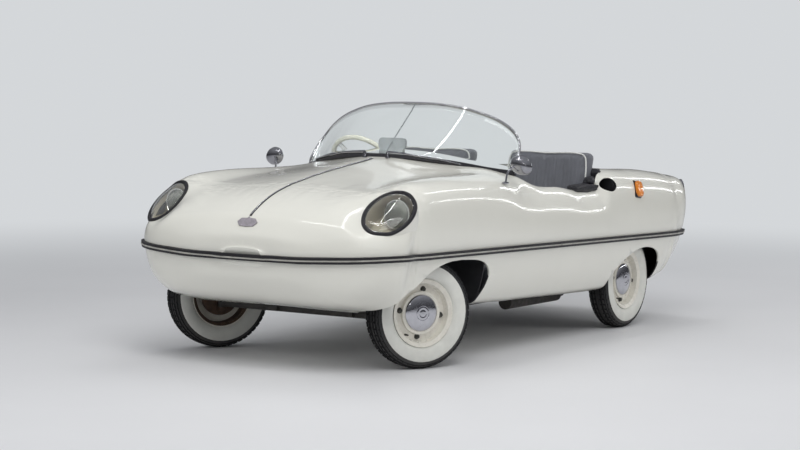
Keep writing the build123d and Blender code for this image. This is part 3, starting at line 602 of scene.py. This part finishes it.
for end in ("front", "rear"):
    for side, sign, degrees in wheelSides:
        spot = end + "_" + side
        for made, name, slot, keys, sharp, replaced in (
                (tyreMesh(tyreShape), "tyre_" + spot + "_look", "tyre_rubber", "tread whitewall groove", 34.0,
                 "tyre_" + spot),
                (rimMesh(rimShape), "rim_" + spot + "_look", "rim_paint", "rim rust", 34.0, "rim_" + spot),
                (boltMeshes(rimShape), "bolts_" + spot, "dark_steel", "bolt", 38.0, None),
                (hubcapMesh(hubcapShape), "hubcap_" + spot + "_look", "bright_metal", "wornChrome", 34.0,
                 "hubcap_" + spot)):
            place = wheelPlace(wheelShape, end, sign, degrees)
            finishPiece(placed(made, place), name, keys, sharp, replaced, "wheel_" + spot)
print("wheels ready")


# belt moulding
beltShape = {"beadHalf": 0.003, "beadDepth": 0.0022, "round": 0.0055, "sharp": 50.0}


def beltHeight(y):
    flat = 0.464 - 0.01873 * y
    if y >= -1.32:
        return flat
    return flat - 0.02 * ((-1.32 - y) / (-1.32 + 1.508)) ** 2


def beltPieces(s):
    rubber = mergedCopy("belt_trim")
    bmesh.ops.dissolve_limit(rubber, angle_limit=radians(1.0), verts=rubber.verts[:],
                             edges=rubber.edges[:])
    least = radians(s["sharp"])
    sharp = [e for e in rubber.edges if len(e.link_faces) == 2 and e.calc_face_angle(0) > least]
    roundEdges(rubber, sharp, s["round"], 3, clamp_overlap=True)
    finishPiece(rubber, "belt_rubber", "rubber", replaces="belt_trim")
    bm = mergedCopy("belt_trim")
    for vert in bm.verts:
        vert.co.z -= beltHeight(vert.co.y)
    for side in (1, -1):        # keeps the band between the two cuts
        cutAt(bm, (0, 0, side * s["beadHalf"]), (0, 0, side))
    inward = []
    for face in bm.faces:
        middle = face.calc_center_median()
        if face.normal.dot(Vector((middle.x, middle.y * 0.45, 0))) < 0:
            inward.append(face)
    bmesh.ops.delete(bm, geom=inward, context="FACES")
    for vert in bm.verts:
        vert.co.z += beltHeight(vert.co.y)
    made = bmesh.ops.extrude_face_region(bm, geom=bm.faces[:])
    for vert in onlyVerts(made["geom"]):
        out = Vector((vert.co.x, 0, 0)) if abs(vert.co.y) < 1.2 else Vector((vert.co.x, vert.co.y * 0.9, 0))
        vert.co += out.normalized() * s["beadDepth"]
    facesOut(bm)
    finishPiece(bm, "belt_bead", "bead")


beltPieces(beltShape)
print("belt moulding ready")


# windscreen: rows of foot and top points from the middle to the left end
screenTable = [
    (0, -0.484, 0.862, 0, -0.206, 1.097), (0.17, -0.466, 0.856, 0.13, -0.202, 1.094),
    (0.3, -0.42, 0.842, 0.25, -0.192, 1.08), (0.39, -0.366, 0.826, 0.345, -0.172, 1.056),
    (0.46, -0.312, 0.81, 0.425, -0.152, 1.026), (0.515, -0.268, 0.8, 0.49, -0.142, 0.985),
    (0.545, -0.248, 0.796, 0.531, -0.15, 0.938), (0.558, -0.24, 0.795, 0.552, -0.178, 0.892),
    (0.563, -0.236, 0.795, 0.56, -0.222, 0.832),
]
screenShape = {"sunk": 0.007, "gap": 0.004, "glass": 0.0032, "arch": 0.006}


def screenRow(t):
    # foot and top of the glass at row t, negative rows on the right side
    def row(i):
        if i > 8:
            return [2 * a - b for a, b in zip(screenTable[8], screenTable[7])]
        r = list(screenTable[abs(i)])
        return [-r[0], r[1], r[2], -r[3], r[4], r[5]] if i < 0 else r
    side, t = (-1 if t < 0 else 1), abs(t)
    i = min(int(t), 7)
    f = t - i
    a, b, c, d = row(i - 1), row(i), row(i + 1), row(i + 2)
    v = [0.5 * (2 * q + (r - p) * f + (2 * p - 5 * q + 4 * r - w) * f * f + (3 * q - p - 3 * r + w) * f ** 3)
         for p, q, r, w in zip(a, b, c, d)]
    return Vector((side * v[0], v[1], v[2])), Vector((side * v[3], v[4], v[5]))


def screenPieces(s):
    bm = bmesh.new()
    bmesh.ops.create_grid(bm, x_segments=96, y_segments=8, size=1)
    for vert in bm.verts:
        foot, top = screenRow(vert.co.x * 8)
        rise = (top - foot).normalized()
        vert.co = (foot + rise * s["sunk"]).lerp(top - rise * s["gap"], (vert.co.y + 1) / 2)
    bmesh.ops.solidify(bm, geom=bm.faces[:], thickness=s["glass"])
    facesOut(bm)
    finishPiece(bm, "screen_glass", "glass", 60.0, "windscreen_glass")
    arch = barMesh([screenRow(t / 2)[1] for t in range(-16, 17)], s["arch"], 4)
    finishPiece(joinMeshes(arch), "screen_arch", "chrome", 60.0, "windscreen_frame")
    bars = []
    for side in (1, -1):
        low = [screenRow(side * t)[1] for t in (7.0, 7.4, 7.8, 8.0)]
        bars.append(barMesh(low, [0.0064, 0.0085, 0.009, 0.009]))
        foot, top = screenRow(side * 8.0)
        middle = top.lerp(foot, 0.5) + Vector((side * 0.003, 0.004, 0))
        bars.append(barMesh([top, middle, foot + Vector((0, 0.008, -0.006))], [0.0088, 0.0095, 0.011]))
    finishPiece(joinMeshes(*bars), "screen_clips", "chrome", 50.0)


noseShape = {"front": -1.42, "back": -1.05, "full": 0.4, "none": 0.7, "low": 0.55, "step": 0.012}


def smoothNose(bm, s):
    # the bonnet drawn as one steady curve between two cross-sections, fading out over the lamps
    first, last = s["front"] - 0.02, s["back"] + 0.02
    near = [e for e in bm.edges if e.calc_length() > s["step"] and all(
        first < v.co.y < last and abs(v.co.x) < s["full"] and v.co.z > 0.62 for v in e.verts)]
    bmesh.ops.subdivide_edges(bm, edges=near, cuts=1, use_grid_fill=True)
    tree = BVHTree.FromBMesh(bm)

    def height(x, y):
        return tree.ray_cast(Vector((x, y, 1.5)), Vector((0, 0, -1)))[0].z
    front, back, step = s["front"], s["back"], s["step"]
    span = back - front
    for vert in bm.verts:
        x, y, z = vert.co
        if not front < y < back or abs(x) > s["none"] or z < s["low"]:
            continue
        x = max(-s["full"], min(s["full"], x))
        start, end = height(x, front), height(x, back)
        slopeIn = (start - height(x, front - step)) / step * span
        slopeOut = (height(x, back + step) - end) / step * span
        t = (y - front) / span
        steady = (start * (1 + 2 * t) * (1 - t) ** 2 + slopeIn * t * (1 - t) ** 2
                  + end * t * t * (3 - 2 * t) + slopeOut * t * t * (t - 1))
        f = min(1.0, (s["none"] - abs(vert.co.x)) / (s["none"] - s["full"]))
        vert.co.z += (steady - height(x, y)) * f * f * (3 - 2 * f)


creaseShape = {"front": -1.235, "back": -1.125, "steps": 8}


def smoothCrease(bm, s):
    # rounds the faint ridge where two lengths of the skin meet; open edges stay
    loose = [v for v in bm.verts if s["front"] < v.co.y < s["back"]
             and all(len(e.link_faces) == 2 and e.calc_face_angle(0) < 0.6 for e in v.link_edges)]
    for step in range(s["steps"]):
        bmesh.ops.smooth_vert(bm, verts=loose, factor=0.5, use_axis_x=True, use_axis_y=False, use_axis_z=True)


lampShape = {
    "centre": (0.58, -1.281, 0.668), "normal": (0.22, -0.627, 0.747), "up": (0.172, 0.779, 0.603),
    "long": 0.13, "short": 0.1, "ring": 0.01, "dome": 0.02, "highest": 0.003, "lowest": -0.01,
    "fade": 1.7, "sunk": 0.05, "along": 0.046, "aim": (0.05, -0.99, 0.1), "radius": 0.06,
}


def lampMatrix(s):
    normal = Vector(s["normal"]).normalized()
    up = Vector(s["up"])
    up = (up - normal * up.dot(normal)).normalized()
    return axesAt(s["centre"], up, normal.cross(up), normal)


def skinHeights(tree, s, place, extra=0.004, samples=72):
    # how far the skin lies above the lamp's plane round the hole
    normal = place.to_3x3() @ Vector((0, 0, 1))
    heights = []
    for k in range(samples):
        a = fullTurn * k / samples
        point = place @ Vector(((s["long"] + extra) * cos(a), (s["short"] + extra) * sin(a), 0))
        hit = tree.ray_cast(point + normal * 0.06, -normal, 0.2)[0]
        heights.append((hit - point).dot(normal) if hit else heights[-1])
    return heights


def aroundFunction(values, rounds=3):
    # steady curve through values spaced evenly round the circle
    for step in range(rounds):
        after = values[1:] + values[:1]
        values = [(values[k - 1] + 2 * values[k] + after[k]) / 4 for k in range(len(values))]

    def at(angle):
        spot = angle / fullTurn % 1.0 * len(values)
        k = int(spot) % len(values)
        return values[k] + (values[(k + 1) % len(values)] - values[k]) * (spot - int(spot))
    return at


def seatLamps(bm, s):
    # draws the skin down to the lamp's plane where it stands above it, fading outwards
    place = lampMatrix(s)
    drop = aroundFunction([max(0.0, h - s["highest"]) for h in skinHeights(BVHTree.FromBMesh(bm), s, place)])
    back = place.inverted()
    for vert in bm.verts:
        side = -1 if vert.co.x < 0 else 1
        local = back @ Vector((abs(vert.co.x), vert.co.y, vert.co.z))
        reach = hypot(local.x / s["long"], local.y / s["short"])
        if reach > s["fade"] or abs(local.z) > 0.06:
            continue
        f = min(1.0, (s["fade"] - reach) / (s["fade"] - 1))
        local.z -= drop(atan2(local.y / s["short"], local.x / s["long"])) * f * f * (3 - 2 * f)
        moved = place @ local
        vert.co = (side * moved.x, moved.y, moved.z)


upperSkin, lowerSkin = mergedCopy("body_upper"), mergedCopy("body_lower")
smoothNose(upperSkin, noseShape)
for skin in (upperSkin, lowerSkin):
    smoothCrease(skin, creaseShape)
seatLamps(upperSkin, lampShape)
bodyTree = BVHTree.FromBMesh(upperSkin)
for skin, name in ((upperSkin, "body_upper"), (lowerSkin, "body_lower")):
    finishPiece(skin, name + "_skin", "paint", 30.0, name)


def onSkin(x, y, lift):
    # point over the skin, by so much along its normal
    point, normal = bodyTree.ray_cast(Vector((x, y, 1.5)), Vector((0, 0, -1)))[:2]
    return point + normal * lift


bonnetShape = {"first": -1.446, "last": -0.545, "halfWidth": 0.0056, "lift": 0.0022, "bead": 0.0027,
               "badgeY": -1.4665, "badgeLift": 0.004}


def bonnetPieces(s):
    first, last = s["first"], s["last"]
    ribbon = bmesh.new()
    bmesh.ops.create_grid(ribbon, x_segments=2, y_segments=110, size=1)
    for vert in ribbon.verts:
        vert.co = onSkin(vert.co.x * s["halfWidth"], first + (last - first) * (vert.co.y + 1) / 2, s["lift"])
    bmesh.ops.solidify(ribbon, geom=ribbon.faces[:], thickness=0.003)
    facesOut(ribbon)
    finishPiece(ribbon, "bonnet_base", "rubber", replaces="bonnet_trim")
    line = [onSkin(0, first + 0.004 + (last - first - 0.008) * k / 47, s["lift"]) for k in range(48)]
    finishPiece(joinMeshes(barMesh(line, s["bead"], 3)), "bonnet_bead", "chrome", 60.0)
    badge = bmesh.new()
    corners = [(-0.051, 0), (-0.036, 0.0095), (-0.007, 0.0105), (0, 0.0155), (0.007, 0.0105), (0.036, 0.0095),
               (0.051, 0), (0.036, -0.0105), (0, -0.0125), (-0.036, -0.0105)]
    face = badge.faces.new([badge.verts.new((x, y, 0)) for x, y in corners])
    bmesh.ops.inset_region(badge, faces=[face], thickness=0.0035, use_even_offset=True)
    bmesh.ops.inset_region(badge, faces=[face], thickness=0.0008, depth=-0.0012, use_even_offset=True)
    face.material_index = 1
    made = bmesh.ops.extrude_face_region(badge, geom=badge.faces[:])
    raised = set(onlyVerts(made["geom"]))
    for vert in badge.verts:
        lift = s["badgeLift"] + vert.co.z if vert in raised else -0.001
        vert.co = onSkin(vert.co.x, s["badgeY"] + vert.co.y, lift)
    facesOut(badge)
    finishPiece(badge, "bonnet_badge", "chrome enamel", 25.0)


screenPieces(screenShape)
bonnetPieces(bonnetShape)
print("screen and bright trim ready")


# headlamps
def ovalRing(long, short, section):
    # oval ring in the lamp's plane; section rows: outwards, height, and what each angle adds to the height
    bm = spunRing([(height, 1 + out) for out, height, rise in section], 96)
    for vert in bm.verts:
        height, y, z = vert.co
        out, turn = hypot(y, z) - 1, atan2(-y, z)
        rise = min(section, key=lambda row: abs(row[0] - out) + abs(row[1] - height))[2]
        vert.co = ((long + out) * cos(turn), (short + out) * sin(turn),
                   height + (rise(turn) if rise else 0.0))
    facesOut(bm)
    return bm


def roundSection(out, height, wide, high, rise=None, sides=14):
    turns = [fullTurn * k / sides for k in range(sides)]
    return [(out + wide * cos(a), height + high * sin(a), rise) for a in turns]


def headlampPieces(s):
    place = lampMatrix(s)
    heights = skinHeights(bodyTree, s, place)
    edge = aroundFunction([min(s["highest"], max(s["lowest"], h)) for h in heights])
    foot = aroundFunction(heights, 1)
    rubber = roundSection(-0.005, 0.001, 0.0092, 0.0072, edge)
    bright = roundSection(-0.0138, 0.003, 0.0011, 0.0012, edge)
    skirt = [(0.0034, -0.002, edge), (0.0056, -0.006, foot), (-0.001, -0.006, foot), (-0.001, -0.002, edge)]
    wall = [(-0.0085, -0.0355, None), (-0.0085, 0.0, edge), (-0.011, 0.0, edge), (-0.011, -0.0355, None)]
    for section, name, slot, key, replaced in (
            (rubber, "lamp_rubber", "dark_rubber", "rubber", "headlamp_bezels"),
            (bright, "lamp_ring", "bright_metal", "chrome", None),
            (skirt, "lamp_skirt", "body_paint", "paint", None),
            (wall, "lamp_wall", "dark_steel", "bucket", None)):
        ring = placed(ovalRing(s["long"], s["short"], section), place)
        finishPiece(mirroredX(ring), name, key, replaces=replaced)
    inLong, inShort = s["long"] - s["ring"] - 0.001, s["short"] - s["ring"] - 0.001
    dome = bmesh.new()
    bmesh.ops.create_uvsphere(dome, u_segments=96, v_segments=32, radius=1.0)
    cutAt(dome, (0, 0, 0), (0, 0, -1))
    for vert in dome.verts:
        reach, turn = hypot(vert.co.x, vert.co.y), atan2(vert.co.y, vert.co.x)
        vert.co = (vert.co.x * inLong, vert.co.y * inShort, vert.co.z * s["dome"] + edge(turn) * reach ** 3)
    bmesh.ops.solidify(dome, geom=dome.faces[:], thickness=0.0025)
    placed(dome, place)
    finishPiece(mirroredX(dome), "lamp_cover", "cover", replaces="headlamp_covers")
    bowl = [(0.004, 1), (0.006, 1.03), (0.01, 1.02), (0.01, 0.95), (0.006, 0.9), (-0.012, 0.66),
            (-0.021, 0.35), (-0.0235, 0.0)]
    lens = [(0.006, 0.95), (0.0095, 0.9), (0.0135, 0.6), (0.015, 0.25), (0.0153, 0.0)]
    turned = aimedAt(place @ Vector((s["along"], 0, -s["sunk"])), s["aim"])
    for profile, name, key, replaced in ((bowl, "lamp_bowl", "silver", "headlamp_units"),
                                         (lens, "lamp_lens", "lens", None)):
        unit = placed(spunRing(profile, 64, False, s["radius"]), turned)
        finishPiece(mirroredX(unit), name, key, replaces=replaced)


headlampPieces(lampShape)
print("headlamps ready")


# seats
seatShape = {
    "centreX": 0.326, "width": 0.462, "lean": 9.0, "foot": (0.39, 0.2238), "thick": 0.076, "height": 0.656,
    "cushionLow": 0.2262, "cushionTop": 0.35, "cushionFront": -0.058, "voxel": 0.006, "pressure": 4.0,
    "clothSteps": 20, "backCap": 0.01, "cushionCap": 0.012, "pleat": 0.0205, "pleatDepth": 0.0032,
    "piping": 0.0036, "corner": 0.035,
}


def applied(pad):
    # gives the object the mesh that its modifiers make
    deps = bpy.context.evaluated_depsgraph_get()
    pad.data = bpy.data.meshes.new_from_object(pad.evaluated_get(deps))
    pad.modifiers.clear()


def swollen(bm, s, cap):
    # remesh, then a short cloth run with air pressure; no point moves more than the cap
    pad = newObject("pad", meshOf(bm, "pad"))
    remesh = pad.modifiers.new("remesh", "REMESH")
    remesh.mode, remesh.voxel_size = "VOXEL", s["voxel"]
    applied(pad)
    start = [v.co.copy() for v in pad.data.vertices]
    cloth = pad.modifiers.new("cloth", "CLOTH")
    cloth.settings.use_pressure = True
    cloth.settings.uniform_pressure_force = s["pressure"]
    cloth.settings.effector_weights.gravity = 0
    cloth.settings.quality = 5
    for step in range(1, s["clothSteps"] + 1):
        bpy.context.scene.frame_set(step)
    applied(pad)
    for vert, old in zip(pad.data.vertices, start):
        move = vert.co - old
        if move.length > cap:
            vert.co = old + move.normalized() * cap
    bpy.context.scene.frame_set(1)
    result = bmesh.new()
    result.from_mesh(pad.data)
    bpy.data.objects.remove(pad)
    return result


def pleat(bm, s, across, low, high):
    # sewn channels on the panel that faces against Y (across "y") or up (across "z")
    halfWidth = s["width"] / 2 - 0.03
    for vert in bm.verts:
        u = vert.co.x / s["pleat"] + 0.5
        along = vert.co.z if across == "y" else vert.co.y
        face = -vert.normal.y if across == "y" else vert.normal.z
        if abs(vert.co.x) > halfWidth or not low < along < high or face < 0.2:
            continue
        fade = min(1.0, (halfWidth - abs(vert.co.x)) / 0.012, (along - low) / 0.015, (high - along) / 0.015)
        groove = max(0.0, 1 - min(u % 1, 1 - u % 1) * 5.5)
        vert.co += vert.normal * fade * (0.0012 - s["pleatDepth"] * groove)


def bothSides(points):
    # a line from one end to its middle, with its mirror image after it
    return points + [(-x, y) for x, y in reversed(points[:-1])]


def seatPieces(s):
    low, top, front = s["cushionLow"], s["cushionTop"], s["cushionFront"]
    depth = s["foot"][0] - front - 0.002
    back = roundedBlock((s["width"] - 0.008, s["thick"] - 0.006, s["height"] - 0.006), 0.024)
    back = swollen(back, s, s["backCap"])
    cushion = roundedBlock((s["width"] - 0.008, depth - 0.006, top - low - 0.012), 0.026)
    cushion = swollen(cushion, s, s["cushionCap"])
    middle = Vector((0, s["thick"] / 2 + 0.003, s["height"] / 2 + 0.006))
    backPlace = Matrix.Translation((0, *s["foot"])) @ rotated(-s["lean"], "X") @ Matrix.Translation(middle)
    cushionPlace = Matrix.Translation((0, front + depth / 2, (low + top) / 2 - 0.001))
    for bm, place, across, first, last in (
            (back, backPlace, "y", -s["height"] / 2 + 0.05, s["height"] / 2 - 0.032),
            (cushion, cushionPlace, "z", -depth / 2 + 0.04, depth / 2 - 0.03)):
        bm.normal_update()
        pleat(bm, s, across, first, last)
        bmesh.ops.subdivide_edges(bm, edges=bm.edges[:], cuts=1, use_grid_fill=True, smooth=0.2)
        placed(bm, place)
        for vert in bm.verts:       # flat where it rests on the floor
            vert.co.z = max(vert.co.z, low)
    half = s["width"] / 2 - 0.021
    tall = s["height"] / 2 - 0.021
    flat = depth / 2 - 0.018
    edge = s["corner"]
    fronts = [backPlace @ Vector((x, -s["thick"] / 2 - 0.001, z)) for x, z in bothSides(
        [(-half, -tall + 0.03), (-half, 0), (-half, tall - edge), (-half + edge * 0.3, tall - edge * 0.3),
         (-half + edge, tall), (0, tall)])]
    tops = [cushionPlace @ Vector((x, y, (top - low) / 2 - 0.004)) for x, y in bothSides(
        [(-half, flat - 0.03), (-half, 0), (-half, -flat + 0.03), (-half + 0.012, -flat + 0.008),
         (-half + 0.04, -flat), (0, -flat)])]
    for side, sign in (("left", 1), ("right", -1)):
        shift = Vector((sign * s["centreX"], 0, 0))
        for label, bm in (("seat_back_", back), ("seat_cushion_", cushion)):
            copy = placed(bm.copy(), Matrix.Translation(shift))
            piece = finishPiece(copy, label + side + "_pad", "vinyl", 70.0, label + side)
        for label, line in (("back", fronts), ("cushion", tops)):
            cord = barMesh([p + shift for p in line], s["piping"], 6, 4)
            finishPiece(cord, label + "_piping_" + side, "piping", 60.0)
    back.free()
    cushion.free()


seatPieces(seatShape)
print("seats ready")


# steering wheel
steerShape = {"centre": (-0.285, -0.18, 0.8), "aim": (0, 0.8, 0.6), "radius": 0.165, "tube": 0.0113,
              "spokes": 3, "wire": 0.0026, "wireGap": 0.011}


def steeringWheel(s):
    turned = aimedAt(s["centre"], s["aim"])
    rim = [(x, s["radius"] + r) for x, r, rise in roundSection(0, 0, s["tube"], s["tube"], sides=16)]
    hub = [(-0.045, 0.0), (-0.045, 0.024), (-0.02, 0.026), (-0.01, 0.032), (-0.004, 0.03), (0.0, 0.018),
           (0.001, 0.0)]
    for made, name, replaced in ((spunRing(rim, 96), "steering_rim", "steering_wheel"),
                                 (spunRing(hub, 48, False), "steering_hub", None)):
        finishPiece(placed(made, turned), name, "cream", 38.0, replaced, "steering_wheel")
    wires = []
    for k in range(s["spokes"]):
        a = radians(90) + fullTurn * k / s["spokes"]
        out = Vector((0, cos(a), sin(a)))
        for offset in (-s["wireGap"], 0.0, s["wireGap"]):
            side = Vector((0, -sin(a), cos(a))) * offset
            points = [turned @ (out * r + side + Vector((x, 0, 0))) for r, x in
                      ((0.022, -0.022), (0.06, -0.017), (0.11, -0.008), (s["radius"] - 0.002, 0.0))]
            wires.append(barMesh(points, s["wire"], 4, 2))
    finishPiece(joinMeshes(*wires), "steering_spokes", "chrome", body="steering_wheel")


steeringWheel(steerShape)
print("steering wheel ready")


# mirrors, wipers and side lamps
mirrorShape = {"foot": (0.63, -0.432, 0.76), "bend": (0.634, -0.412, 0.812), "head": (0.672, -0.368, 0.836),
               "aim": (-0.12, 1.0, 0.12), "long": 0.052, "short": 0.041, "tilt": 28.0, "stalk": 0.0042}


def sideMirrors(s):
    head, aim = Vector(s["head"]), Vector(s["aim"]).normalized()
    flat = Matrix.Diagonal((1, 1, s["short"] / s["long"], 1))
    turned = aimedAt(head, aim) @ rotated(s["tilt"], "X") @ flat
    shell = spunRing([(0.0, 0.97), (0.003, 1), (0.0005, 1.02), (-0.008, 0.98), (-0.02, 0.8), (-0.028, 0.45),
                      (-0.031, 0.0)], 64, False, s["long"])
    placed(shell, turned)
    foot = bmesh.new()
    bmesh.ops.create_uvsphere(foot, u_segments=32, v_segments=16, radius=0.014,
                              matrix=Matrix.Translation(s["foot"]) @ Matrix.Diagonal((1.0, 1.35, 0.45, 1)))
    neck = head - aim * 0.022 + Vector((-0.012, 0, 0.008))
    shell.from_mesh(barMesh([s["foot"], s["bend"], neck], s["stalk"], sides=4))
    shell.from_mesh(meshOf(foot, "foot"))
    finishPiece(mirroredX(shell), "mirror_shells", "darkChrome", replaces="side_mirrors")
    pane = spunRing([(0.0005, 0.965), (0.0022, 0.6), (0.003, 0.2), (0.0031, 0.0)], 64, False, s["long"])
    finishPiece(mirroredX(placed(pane, turned)), "mirror_panes", "mirrorGlass")


wiperShape = {"pivot": (0.062, -0.512, 0.868), "knee": (0.19, -0.512, 0.871), "end": (0.395, -0.424, 0.833),
              "blade": 0.0034}


def wiperPieces(s):
    pivot, knee, end = (Vector(s[k]) for k in ("pivot", "knee", "end"))
    lift = Vector((0, 0, 0.004))
    arm = barMesh([pivot + lift * 3, pivot.lerp(knee, 0.5) + lift * 2, knee, knee.lerp(end, 0.45)],
                  [0.0062, 0.0052, 0.0036, 0.0028])
    back = barMesh([knee.lerp(end, 0.02), knee.lerp(end, 0.5) + lift, end], [0.002, 0.0034, 0.002])
    arms = joinMeshes(arm, back)
    addCone(arms, 32, 0.0105, 0.007, 0.026, Matrix.Translation(pivot + Vector((0, 0, -0.001))))
    finishPiece(mirroredX(arms), "wiper_arms", "darkChrome", replaces="wipers")
    line = [knee.lerp(end, t) + Vector((0, 0.003, -0.0045)) for t in (0.0, 0.5, 1.0)]
    blade = joinMeshes(barMesh(line, s["blade"], 3, 4))
    finishPiece(mirroredX(blade), "wiper_blades", "rubber")


stayShape = {"top": (0, -0.19, 1.086), "foot": (0, -0.455, 0.858), "share": 0.76, "stay": 0.003,
             "size": (0.146, 0.013, 0.052), "round": 0.018, "tilt": -8}


def drivingMirror(s):
    top, foot = Vector(s["top"]), Vector(s["foot"])
    head = top.lerp(foot, s["share"]) + Vector((0, 0.014, 0.0))
    bm = joinMeshes(barMesh([top, top.lerp(foot, 0.5), foot], s["stay"], 2, 4))
    shellPlace = Matrix.Translation(head) @ rotated(s["tilt"], "X")
    bmesh.ops.create_cube(bm, size=1.0, matrix=shellPlace @ Matrix.Diagonal((*s["size"], 1)))
    roundEdges(bm, [e for e in bm.edges if abs(e.calc_length() - s["size"][1]) < 1e-4], s["round"], 6)
    finishPiece(bm, "driving_mirror", "mirrorBack", replaces="mirror_and_stay")


sideLampShape = {"place": (0.656, 0.79, 0.681), "lens": (0.024, 0.056, 0.078), "foot": (0.026, 0.064, 0.086)}


def sideLamps(s):
    # leaning with the skin; the dark foot shows in front of the lens
    tilt = Matrix.Translation(s["place"]) @ rotated(-16, "Y") @ rotated(-8, "X")
    lens = bmesh.new()
    bmesh.ops.create_cube(lens, size=1.0, matrix=Matrix.Diagonal((*s["lens"], 1)))
    roundEdges(lens, [e for e in lens.edges if abs(e.calc_length() - s["lens"][0]) < 1e-4], 0.022, 6)
    roundEdges(lens, [e for e in lens.edges if e.calc_face_angle(0) > 0.8], 0.008, 6)
    placed(lens, tilt @ Matrix.Translation((0.01, 0.003, 0)))
    finishPiece(mirroredX(lens), "side_lamp_lens", "amber", replaces="indicators")
    foot = placed(roundedBlock(s["foot"], 0.009), tilt @ Matrix.Translation((-0.006, 0, 0)))
    finishPiece(mirroredX(foot), "side_lamp_foot", "rubber")


tailShape = {"near": (0.556, 1.42, 0.64), "aim": (0.62, 0.78, 0), "long": 0.056, "short": 0.033,
             "tube": 0.0065}


def tailLamps(s):
    aim, up = Vector(s["aim"]).normalized(), Vector((0, 0, 1))
    hit = bodyTree.ray_cast(Vector(s["near"]) + aim * 0.3, -aim)[0]
    rim = ovalRing(s["long"], s["short"], roundSection(0.0, 0.003, s["tube"], s["tube"]))
    placed(rim, axesAt(hit, up, aim.cross(up), aim))
    finishPiece(mirroredX(rim), "tail_lamp_rims", "darkChrome")


def crumpledBag(bm, seed):
    # loose folds: ridged noise pushes the skin in and out
    bmesh.ops.subdivide_edges(bm, edges=bm.edges[:], cuts=3, use_grid_fill=True, smooth=0.4)
    bm.normal_update()
    for vert in bm.verts:
        p = vert.co * 26 + Vector((seed, 0, 0))
        fold = abs(noise.noise(Vector((p.x, p.y * 0.45, p.z)))) * 2 - 0.5
        vert.co += vert.normal * (0.009 * fold + 0.003 * noise.noise(vert.co * 90))
    return bm


foldRows = (
    # size, place and turn about Z in degrees
    ((0.06, 0.23, 0.034), (0.586, 0.365, 0.7), 0.0),
    ((0.052, 0.11, 0.06), (0.566, 0.47, 0.722), 14.0),
    ((0.25, 0.045, 0.06), (0.46, 0.545, 0.752), 3.0),
)


def foldedTrim():
    # dark soft trim lying in the rear corners of the cockpit, partly over the edge
    meshes = []
    for k, (size, place, turn) in enumerate(foldRows):
        turned = Matrix.Translation(place) @ rotated(turn, "Z")
        bag = placed(roundedBlock(size, min(size) * 0.42, 3), turned)
        meshes.append(meshOf(crumpledBag(bag, k * 5.0), "fold"))
    finishPiece(mirroredX(joinMeshes(*meshes)), "folded_trim", "canvas", 80.0)


tailLamps(tailShape)
foldedTrim()
sideMirrors(mirrorShape)
wiperPieces(wiperShape)
drivingMirror(stayShape)
sideLamps(sideLampShape)
print("mirrors, wipers and side lamps ready")


# floor
floorShape = {"half": 30, "sunk": -0.0005, "fade": (2.2, 8.0),
              "tones": ((0.7, 0.7, 0.71), (0.74, 0.74, 0.75))}


def makeFloor(s):
    # pale floor that fades into the background further out
    bm = bmesh.new()
    bmesh.ops.create_grid(bm, x_segments=1, y_segments=1, size=s["half"],
                          matrix=Matrix.Translation((0, 0, s["sunk"])))
    material = newMaterial("paleFloor")
    tree, inputs = shaderOf(material)
    inputs["Roughness"].default_value = 0.5
    feed(tree, inputs["Base Color"], mixColor(tree, effect(tree, "variation", Scale=0.6), *s["tones"]))
    away = addNode(tree, "VectorMath", {0: objectPlace(tree)}, operation="LENGTH").outputs["Value"]
    fade = addNode(tree, "MapRange", {"From Min": s["fade"][0], "From Max": s["fade"][1], "Value": away},
                   interpolation_type="SMOOTHSTEP").outputs["Result"]
    path = addNode(tree, "LightPath").outputs
    seen = mathNode(tree, "MAXIMUM", path["Is Camera Ray"], path["Is Transmission Ray"])
    glow = addNode(tree, "Emission", {"Color": worldSettings["seen"]})
    mix = addNode(tree, "MixShader", {0: mathNode(tree, "MULTIPLY", fade, seen),
                                      1: tree.nodes["Principled BSDF"].outputs[0], 2: glow.outputs[0]})
    feed(tree, tree.nodes["Material Output"].inputs["Surface"], mix.outputs[0])
    mesh = meshOf(bm, "floor")
    mesh.materials.append(material)
    newObject("floor", mesh)


makeFloor(floorShape)
print("scene ready")
